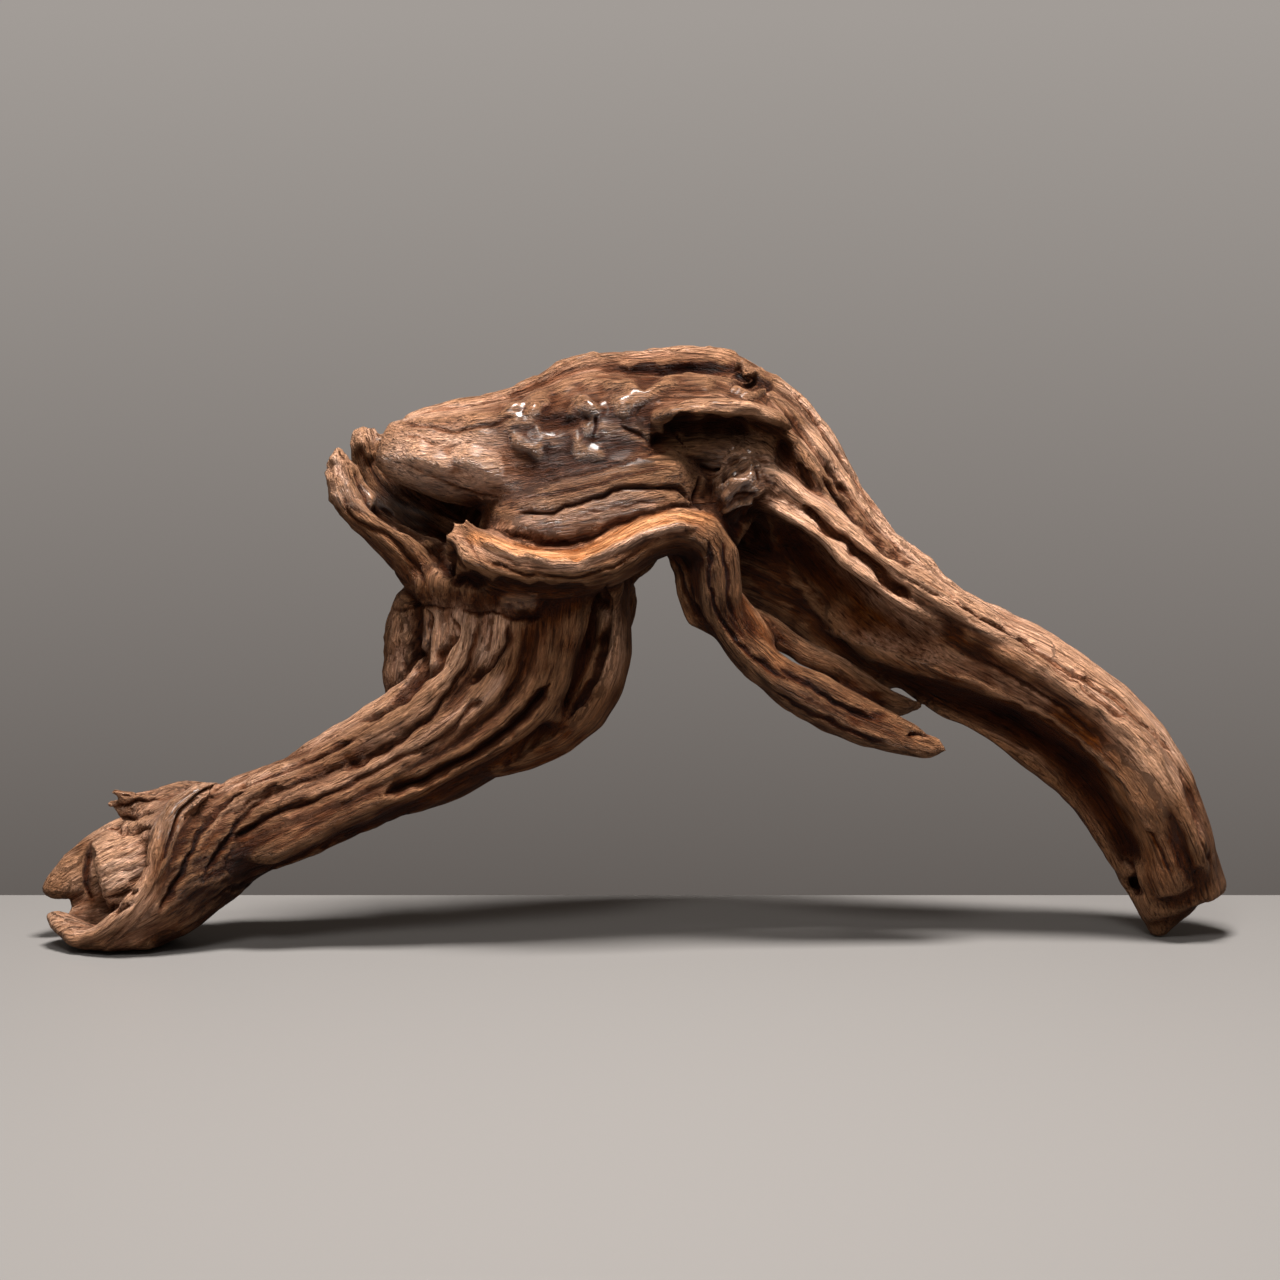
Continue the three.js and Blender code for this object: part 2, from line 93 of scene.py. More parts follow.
SPLINTERS = [
    # the broken end of the shelf
    ((-76, -40, 202), (-86, -41, 219), 4.6),
    ((-80, -38, 203), (-93, -38, 217), 3.8),
    ((-84, -42, 203), (-100, -42, 212), 3.4),
    # the wood between the band and the shelf
    ((-20, -37, 204), (-72, -33, 208), 8.6, 0.9),
    ((-26, -37, 204), (26, -34, 217), 8.6, 0.9),
    # the back wall of the hollow under the ledge, and the heart of the knob
    ((8, -16, 255), (66, -14, 248), 12.0, 1.0),
    ((54, -14, 250), (94, -4, 220), 11.0, 0.7),
    ((38, -33, 228), (60, -33, 233), 8.0, 0.6),
    ((58, -24, 226), (74, -26, 221), 7.0, 0.9),
    # a torn flake behind the tendril
    ((27, -22, 176), (19, -24, 189), 3.2),
    # the smooth right half of the hub, where its strands have grown together
    ((-44, -31, 186), (-48, -32, 150), 9.0),
    ((-28, -30, 188), (-32, -31, 150), 9.0),
    ((-13, -26, 190), (-14, -26, 160), 8.0),
    ((-32, -33, 172), (-46, -33, 116), 7.5, 1.0),
    # the flat front face of the right leg, below its ridge
    ((188, -11, 136), (232, -12, 102), 10.0, 1.0),
    ((232, -12, 102), (257, -12, 68), 11.0, 1.0),
    ((257, -12, 68), (268, -8, 26), 11.0, 1.0),
    # the tips of the prong
    ((-148, -16, 234), (-153, -16, 247), 6.0),
    ((-145, -14, 236), (-149, -13, 250), 5.0),
    ((-146, -18, 222), (-152, -18, 229), 6.0),
    ((-136, 12, 248), (-144, 12, 255), 4.6),
    ((-134, 12, 248), (-133, 11, 259), 4.8),
    ((-130, 12, 246), (-125, 12, 257), 4.4),
    # the stub of core above the foot
    ((-246, -2, 70), (-266, -2, 76), 5.0),
    ((-246, 2, 66), (-269, 2, 69), 5.4),
    ((-246, 4, 63), (-264, 4, 62), 5.0),
    ((-200, 18, 88), (-224, 16, 89), 4.2),
    # the hanging tendril
    ((134, -25, 104), (149, -25, 106), 4.4),
    ((136, -26, 101), (153, -26, 100), 4.2),
    # the end of the right leg
    ((278, -2, 44), (290, -2, 26), 7.0),
    ((274, 8, 40), (285, 8, 22), 7.0),
    ((254, 20, 36), (252, 20, 18), 6.0),
]
parts = [splinter(*stub) for stub in SPLINTERS]
bpy.ops.object.select_all(action="DESELECT")
for piece in [*parts, wood]:
    piece.select_set(True)
bpy.context.view_layer.objects.active = wood
bpy.ops.object.mode_set(mode="EDIT")
bpy.ops.mesh.select_all(action="SELECT")
bpy.ops.mesh.remove_doubles(threshold=1e-6)
bpy.ops.object.mode_set(mode="OBJECT")
bpy.ops.object.join()


def finish_with(kind, **settings):
    """Gives the wood a modifier, sets it and applies it."""
    bpy.context.view_layer.objects.active = wood
    step = wood.modifiers.new(kind.lower(), kind)
    for name, value in settings.items():
        setattr(step, name, value)
    bpy.ops.object.modifier_apply(modifier=step.name)


def keep_the_root(mesh):
    """Removes what the fusing left loose, so that one closed skin remains."""
    whole = bmesh.new()
    whole.from_mesh(mesh)
    unseen = set(whole.verts)
    islands = []
    while unseen:
        reached = [unseen.pop()]
        for vert in reached:
            for edge in vert.link_edges:
                other = edge.other_vert(vert)
                if other in unseen:
                    unseen.remove(other)
                    reached.append(other)
        islands.append(reached)
    islands.sort(key=len)
    for loose in islands[:-1]:
        bmesh.ops.delete(whole, geom=loose, context="VERTS")
    whole.to_mesh(mesh)
    whole.free()


SKIN_CELL = 1.25 * MM


def fuse(soften):
    """Fuses the wood into one closed skin of small even faces, and softens it."""
    finish_with("REMESH", mode="VOXEL", voxel_size=SKIN_CELL, adaptivity=0.0)
    finish_with("SMOOTH", factor=0.5, iterations=soften)
    keep_the_root(wood.data)


fuse(10)


def corners(mesh):
    """The mesh's points in the drawing's millimetres."""
    flat = np.empty(len(mesh.vertices) * 3)
    mesh.vertices.foreach_get("co", flat)
    return flat.reshape(-1, 3) / MM + DRAWN_MIDDLE


def outward(mesh):
    """The mesh's outward directions, one for each point."""
    flat = np.empty(len(mesh.vertices) * 3)
    mesh.vertex_normals.foreach_get("vector", flat)
    return flat.reshape(-1, 3)


def put_back(mesh, points):
    """Moves the mesh's points to these places of the drawing."""
    mesh.vertices.foreach_set("co", placed(points).ravel())
    mesh.update()


def neighbours(mesh):
    """The mesh's edges as pairs of points, and how many edges each point has."""
    pairs = np.empty(len(mesh.edges) * 2, int)
    mesh.edges.foreach_get("vertices", pairs)
    return pairs.reshape(-1, 2), np.bincount(pairs, minlength=len(mesh.vertices))


def spread(values, rounds, skin):
    """Values evened out over their neighbours on the skin."""
    pairs, links = skin
    values = np.asarray(values, float)
    for _ in range(rounds):
        columns = [
            np.bincount(pairs[:, 0], column[pairs[:, 1]], len(links))
            + np.bincount(pairs[:, 1], column[pairs[:, 0]], len(links))
            for column in values.reshape(len(links), -1).T
        ]
        values = 0.5 * values + 0.5 * (np.stack(columns, axis=1) / links[:, None]).reshape(values.shape)
    return values


def around(points, centre, size):
    """1 at a place on the root, falling away to 0 at `size` from it."""
    away = np.linalg.norm((points - np.array(centre)) / np.array(size), axis=1)
    return np.clip(1.5 - 1.5 * away, 0, 1)


def strongest(points, places):
    """The strongest of these places at each point: (strength, centre, size) for each place."""
    return np.maximum.reduce([strength * around(points, centre, size) for strength, centre, size in places])


def fill_out(points, share, reach, fill, wear, soften):
    """Fills the skin's hollows and wears its ridges, as far as they are narrower than the reach."""
    normals = outward(wood.data)
    rise = np.einsum("ij,ij->i", spread(points, reach, skin) - points, normals)
    rise = share * np.where(rise > 0, fill * rise, wear * rise)
    put_back(wood.data, points + normals * spread(rise, soften, skin)[:, None])


# Wood that grew together has no sharp seams: the creases between the limbs are filled in,
# most of all on the hub, the crown and the right leg, and what stands proud is hardly touched.
GROWN_OVER = [
    (1.0, (-70, -20, 140), (95, 70, 75)),
    (1.0, (-150, -15, 80), (90, 60, 60)),
    (1.0, (-30, -30, 226), (85, 40, 34)),
    (1.0, (225, 0, 100), (110, 80, 90)),
    (0.7, (0, 60, 200), (260, 60, 160)),
]
skin = neighbours(wood.data)
for turn in range(8):
    points = corners(wood.data)
    share = 1.0 if turn < 3 else strongest(points, GROWN_OVER)
    fill_out(points, share, reach=16, fill=0.95, wear=0.22, soften=2)

# The broad faces grew over their own strands and read as one surface, on which the furrows
# below are drawn: the front of the hub and of the trunk, and the foot of the crown.
BROAD_FACES = [
    (1.0, (-72, -34, 128), (80, 42, 64)),
    (1.0, (-140, -26, 88), (80, 42, 46)),
    (1.0, (-28, -36, 226), (84, 34, 34)),
    (1.0, (-22, -16, 140), (46, 46, 62)),
    (1.0, (-14, -40, 205), (56, 30, 14)),
]
points = corners(wood.data)
share = np.clip(1.8 * strongest(points, BROAD_FACES), 0, 1)
fill_out(points, share, reach=90, fill=0.9, wear=0.5, soften=4)
fuse(4)


# ------------------------------------------------------------
# The grain. Wood fibres follow each limb of the root, so each limb has a grain line down its
# heart, [x, y, z, reach], and every point of the skin takes the grain of the nearest one.
# ------------------------------------------------------------

GRAIN_LINES = {
    "trunk": [
        (-262, -8, 26, 36), (-215, -7, 51, 31), (-180, -5, 64, 29), (-145, -2, 79, 29), (-108, 2, 96, 32),
        (-79, 5, 123, 42), (-64, 6, 150, 52), (-58, 6, 185, 50), (-36, 6, 216, 40),
    ],
    "strand_a": [
        (-98, -12, 190, 9), (-100, -17, 173, 9), (-99, -21, 156, 9), (-103, -22, 142, 9),
        (-115, -19, 128, 9), (-133, -15, 115, 9), (-153, -10, 104, 8), (-176, -8, 94, 7),
    ],
    "strand_b": [
        (-80, -22, 190, 10), (-83, -27, 171, 10), (-86, -31, 150, 10), (-95, -31, 135, 10),
        (-112, -28, 120, 9), (-134, -24, 106, 9), (-160, -21, 93, 9), (-188, -22, 82, 9),
        (-212, -27, 72, 8),
    ],
    "strand_c": [
        (-60, -30, 188, 11), (-63, -34, 168, 11), (-67, -36, 145, 10), (-79, -36, 127, 10),
        (-98, -34, 111, 10), (-120, -31, 97, 9), (-146, -29, 82, 9), (-172, -28, 71, 8),
    ],
    "strand_d": [
        (-39, -31, 184, 12), (-41, -34, 160, 12), (-46, -37, 136, 11), (-60, -37, 117, 11),
        (-82, -35, 101, 10), (-108, -33, 86, 10), (-138, -31, 72, 9), (-168, -31, 58, 9),
        (-196, -33, 46, 9),
    ],
    "right_lobe": [
        (-18, 8, 192, 20), (-15, 2, 166, 22), (-16, 0, 144, 24), (-27, -2, 121, 24), (-47, -4, 104, 22),
        (-76, -4, 92, 18), (-110, -4, 76, 16),
    ],
    "left_lobe": [
        (-106, 4, 186, 12), (-114, 4, 171, 13), (-118, 4, 150, 13), (-121, 4, 131, 11), (-127, 4, 118, 7),
    ],
    "collar": [
        (-114, -3, 182, 11), (-101, -11, 183, 14), (-84, -18, 183, 16), (-64, -23, 182, 18),
        (-46, -24, 184, 18), (-30, -22, 188, 15),
    ],
    "ridge": [
        (-92, -2, 174, 18), (-104, -9, 190, 15), (-116, -14, 203, 13), (-131, -16, 214, 11),
        (-142, -16, 224, 10), (-147, -15, 236, 8), (-151, -14, 250, 7),
    ],
    "back_wall": [
        (-52, 10, 194, 18), (-78, 12, 198, 17), (-100, 13, 206, 15), (-119, 13, 220, 13),
        (-132, 13, 236, 10), (-139, 11, 260, 7),
    ],
    "crown": [
        (-134, -10, 252, 12), (-118, -11, 248, 17), (-100, -11, 245, 22), (-76, -9, 244, 27),
        (-48, -5, 246, 33), (-18, -3, 251, 36), (12, 0, 253, 36), (40, 4, 254, 34), (63, 7, 243, 32),
        (81, 9, 219, 30), (98, 10, 195, 31), (122, 10, 169, 31), (152, 10, 147, 31), (180, 10, 133, 31),
        (208, 10, 117, 31), (237, 10, 92, 31), (257, 10, 63, 29), (268, 10, 38, 26), (278, 10, 12, 22),
    ],
    "rear_rim": [
        (-114, 4, 260, 8), (-96, 12, 264, 8), (-74, 22, 266, 9), (-52, 29, 272, 10), (-28, 34, 282, 10),
        (2, 37, 285, 10), (30, 37, 287, 10), (51, 32, 281, 11), (70, 23, 265, 11),
    ],
    "apron": [
        (44, 6, 196, 13), (66, 8, 187, 17), (90, 10, 174, 19), (112, 12, 156, 20), (136, 12, 142, 18),
    ],
    "shelf": [
        (-96, -34, 208, 9), (-85, -38, 202, 13), (-76, -41, 197, 14), (-64, -43, 192, 14),
        (-48, -45, 190, 13), (-30, -46, 190, 13), (-14, -45, 195, 13), (-2, -43, 203, 12),
        (12, -41, 210, 12), (26, -39, 210, 12), (36, -37, 201, 12), (38, -37, 184, 11), (40, -36, 171, 11),
        (45, -35, 160, 10), (55, -33, 149, 10), (69, -31, 136, 10), (84, -29, 128, 11), (96, -27, 121, 11),
        (108, -26, 115, 11), (120, -25, 110, 10), (131, -25, 106, 9), (142, -25, 102, 7),
        (154, -25, 100, 5),
    ],
    "backing": [
        (-30, -12, 200, 18), (-6, -14, 206, 18), (14, -14, 215, 18), (34, -14, 217, 18), (50, -12, 206, 15),
    ],
    "band": [
        (-80, -20, 210, 9), (-62, -23, 215, 15), (-36, -25, 220, 20), (-10, -25, 226, 21),
        (12, -24, 230, 20), (32, -22, 231, 16),
    ],
    "flake": [
        (11, -24, 206, 8), (20, -27, 197, 8), (25, -28, 187, 8), (25, -29, 175, 7), (30, -29, 164, 7),
        (39, -30, 155, 6),
    ],
    "spur": [(47, -28, 182, 6), (54, -26, 168, 7), (61, -26, 157, 6), (68, -27, 145, 5)],
    "tie": [
        (48, -16, 172, 8), (64, -16, 159, 8), (80, -15, 148, 7), (96, -14, 141, 7), (110, -12, 131, 8),
        (124, -8, 122, 8), (142, 2, 118, 7),
    ],
    "ledge": [(4, -34, 266, 6), (20, -37, 269, 8), (40, -37, 269, 8), (60, -33, 268, 8), (76, -26, 258, 7)],
    "knob": [
        (36, -20, 216, 10), (45, -25, 228, 13), (55, -26, 236, 11), (66, -25, 236, 8), (76, -25, 227, 8),
        (88, -26, 219, 8), (102, -26, 207, 8), (118, -25, 195, 9), (140, -21, 180, 10), (165, -15, 165, 11),
        (196, -9, 148, 10),
    ],
    "low_rope": [
        (56, -24, 225, 7), (74, -29, 217, 6), (88, -31, 208, 6), (100, -32, 196, 6), (115, -30, 184, 6),
        (130, -27, 173, 6), (150, -22, 161, 6),
    ],
    "shoulder": [
        (66, -12, 266, 8), (78, -13, 249, 8), (88, -15, 234, 8), (99, -16, 220, 8), (111, -17, 205, 8),
        (127, -16, 193, 8), (150, -13, 180, 8),
    ],
    "middle": [
        (56, -2, 279, 8), (73, -1, 264, 8), (87, 0, 249, 8), (100, 1, 232, 8), (112, 2, 216, 8),
        (125, 3, 203, 8), (140, 4, 192, 8), (153, 4, 182, 6),
    ],
    "outer": [
        (52, 12, 288, 8), (70, 13, 276, 8), (86, 13, 260, 8), (98, 13, 242, 7), (108, 13, 227, 7),
        (119, 13, 214, 6), (129, 12, 206, 4),
    ],
    "front_ridge": [
        (150, -16, 166, 9), (180, -17, 149, 9), (210, -17, 130, 9), (238, -16, 108, 9), (260, -15, 83, 9),
        (274, -13, 58, 9), (284, -8, 32, 8), (288, -6, 18, 8),
    ],
    "back_a": [
        (50, 38, 260, 10), (16, 42, 250, 12), (-18, 42, 222, 13), (-42, 44, 186, 13), (-60, 45, 150, 13),
        (-88, 38, 116, 12), (-130, 29, 92, 11), (-176, 24, 72, 9), (-214, 25, 58, 9),
    ],
    "back_b": [
        (8, 42, 270, 10), (42, 45, 260, 11), (71, 44, 230, 12), (97, 42, 194, 12), (132, 40, 161, 12),
        (180, 38, 130, 11), (222, 37, 100, 10), (250, 35, 64, 9), (266, 31, 34, 8),
    ],
    "back_c": [
        (-8, 26, 186, 11), (-12, 33, 158, 11), (-28, 37, 130, 11), (-60, 33, 104, 11), (-104, 26, 80, 10),
        (-150, 22, 60, 9),
    ],
    "back_shell": [
        (-226, 20, 58, 13), (-248, 20, 51, 13), (-265, 18, 43, 13), (-278, 13, 35, 12), (-290, 6, 28, 10),
        (-301, -1, 24, 6),
    ],
    "lip": [
        (-240, -30, 8, 10), (-260, -27, 6, 11), (-276, -21, 6, 11), (-287, -15, 10, 10), (-294, -11, 15, 7),
    ],
    "core": [(-226, -8, 42, 20), (-244, -11, 40, 21), (-258, -13, 38, 20), (-272, -14, 35, 18)],
    "rim": [
        (-206, -22, 85, 7), (-222, -28, 78, 8), (-233, -34, 66, 8), (-238, -40, 50, 8), (-243, -44, 36, 8),
        (-254, -45, 22, 7), (-267, -40, 11, 7), (-280, -31, 6, 7),
    ],
    "stub": [(-216, 6, 78, 9), (-234, 5, 70, 9), (-250, 4, 67, 9), (-270, 2, 68, 8)],
    "back_flake": [(-176, 16, 86, 7), (-192, 18, 87, 7), (-208, 18, 87, 6), (-226, 17, 85, 5)],
}


def smooth_line(stations, gap):
    """A curve through the stations, as points about `gap` apart."""
    knots = np.array(stations, float)
    knots = np.vstack([2 * knots[0] - knots[1], knots, 2 * knots[-1] - knots[-2]])
    points = []
    for i in range(1, len(knots) - 2):
        a, b, c, d = knots[i - 1 : i + 3]
        count = max(1, math.ceil(np.linalg.norm((c - b)[:3]) / gap))
        t = (np.arange(count) / count)[:, None]
        bend, twist = a - 2.5 * b + 2 * c - 0.5 * d, 1.5 * (b - c) + 0.5 * (d - a)
        points.append(b + 0.5 * t * (c - a) + t**2 * bend + t**3 * twist)
    points.append(knots[-2][None])
    return np.vstack(points)


def nearest_on(line, points):
    """For each point: its distance to the line, the segment it is nearest to, and where on it."""
    starts, spans = line[:-1, :3], np.diff(line[:, :3], axis=0)
    lengths = np.einsum("ij,ij->i", spans, spans)
    offsets = points[:, None] - starts[None]
    share = np.clip(np.einsum("nij,ij->ni", offsets, spans) / lengths, 0, 1)
    gaps = np.linalg.norm(offsets - share[..., None] * spans[None], axis=2)
    segment = gaps.argmin(axis=1)
    rows = np.arange(len(points))
    return gaps[rows, segment], segment, share[rows, segment]


def within(points, line, reach):
    """Which of the points lie in the line's box, widened by the reach."""
    low, high = line.min(0) - reach, line.max(0) + reach
    return np.flatnonzero(np.all(points > low, axis=1) & np.all(points < high, axis=1))


# Each limb's grain is shifted by this much from the last limb's, so that no two look alike.
LIMB_SHIFT = np.array([331, 47, -29])


def read_grain(points):
    """For each point: its place along and across the grain, its limb, and how close the next
    limb is, from 0, far off, to 1, at the seam."""
    count = len(points)
    best = np.full(count, 1e9)
    second = np.full(count, 1e9)
    place = np.zeros((count, 3))
    limb = np.zeros(count, int)
    for number, stations in enumerate(GRAIN_LINES.values()):
        line = smooth_line(stations, 9)
        near = within(points, line[:, :3], line[:, 3].max() * 2.2 + 6)
        gap, segment, share = nearest_on(line, points[near])
        spans = np.diff(line[:, :3], axis=0)
        lengths = np.linalg.norm(spans, axis=1)
        travelled = np.concatenate([[0], np.cumsum(lengths)])
        tangent = spans / lengths[:, None]
        heart = line[segment, :3] + share[:, None] * spans[segment]
        size = line[segment, 3] * (1 - share) + line[segment + 1, 3] * share
        t = tangent[segment]
        across = np.stack([-t[:, 2], np.zeros(len(t)), t[:, 0]], axis=1)
        across /= np.linalg.norm(across, axis=1)[:, None] + 1e-9
        deep = np.cross(across, t)
        off = points[near] - heart
        here = np.column_stack([
            travelled[segment] + share * lengths[segment],
            np.einsum("ij,ij->i", off, across),
            np.einsum("ij,ij->i", off, deep),
        ])
        here += LIMB_SHIFT * number
        score = gap / size
        wins = score < best[near]
        won = near[wins]
        second[near] = np.minimum(second[near], np.maximum(score, best[near]))
        best[won] = score[wins]
        place[won] = here[wins]
        limb[won] = number
    seam = np.clip(1 - (second - best) / 0.35, 0, 1)
    return place, limb, seam


def rough(q, seed):
    """Smooth random values from -1 to 1 over space, one cell for each unit."""
    cell = np.floor(q).astype(np.int64)
    part = q - cell
    part = part * part * (3 - 2 * part)
    total = np.zeros(len(q))
    for dx in (0, 1):
        for dy in (0, 1):
            for dz in (0, 1):
                corner = (cell + (dx, dy, dz)) * (73856093, 19349663, 83492791)
                mixed = corner[:, 0] ^ corner[:, 1] ^ corner[:, 2]
                mixed = (mixed ^ (seed * 2654435761)) & 0x7FFFFFFF
                mixed = ((mixed ^ (mixed >> 15)) * 2246822519) & 0x7FFFFFFF
                mixed = ((mixed ^ (mixed >> 13)) * 3266489917) & 0x7FFFFFFF
                value = (mixed ^ (mixed >> 16)) / 0x3FFFFFFF - 1
                weight = (
                    (part[:, 0] if dx else 1 - part[:, 0])
                    * (part[:, 1] if dy else 1 - part[:, 1])
                    * (part[:, 2] if dz else 1 - part[:, 2])
                )
                total += weight * value
    return total


def fibres(place, along, across, seed):
    """Random values drawn out along the grain: `along` and `across` are their sizes in mm."""
    return rough(place / np.array([along, across, across]), seed)


# ------------------------------------------------------------
# The marks on the front: the furrows between strands, the cracks, pits, knots and swellings
# that the weather opened. Each is a line on the front as it is looked at from 1.8 m away and
# 7 degrees above, in millimetres from the middle and from the floor, with its width and depth.
# ------------------------------------------------------------

LOOKED_AT = np.array([0.0, 0.0, 152.0])
LOOK_HEIGHT = 152.5  # the height that this place has on the front
LOOK_DISTANCE = 1800.0
LOOK_DOWN = math.radians(7)
FORWARD = np.array([0, math.cos(LOOK_DOWN), -math.sin(LOOK_DOWN)])
UPWARD = np.array([0, math.sin(LOOK_DOWN), math.cos(LOOK_DOWN)])
EYE = LOOKED_AT - LOOK_DISTANCE * FORWARD

# A mark is followed in steps of STEP millimetres, and its ends fade out over FADE. Marks wider
# than WIDE, and proud ones, are rounded, and the others are cracks with a sharp bottom.
STEP = 3.0
FADE = 9.0
WIDE = 4.6

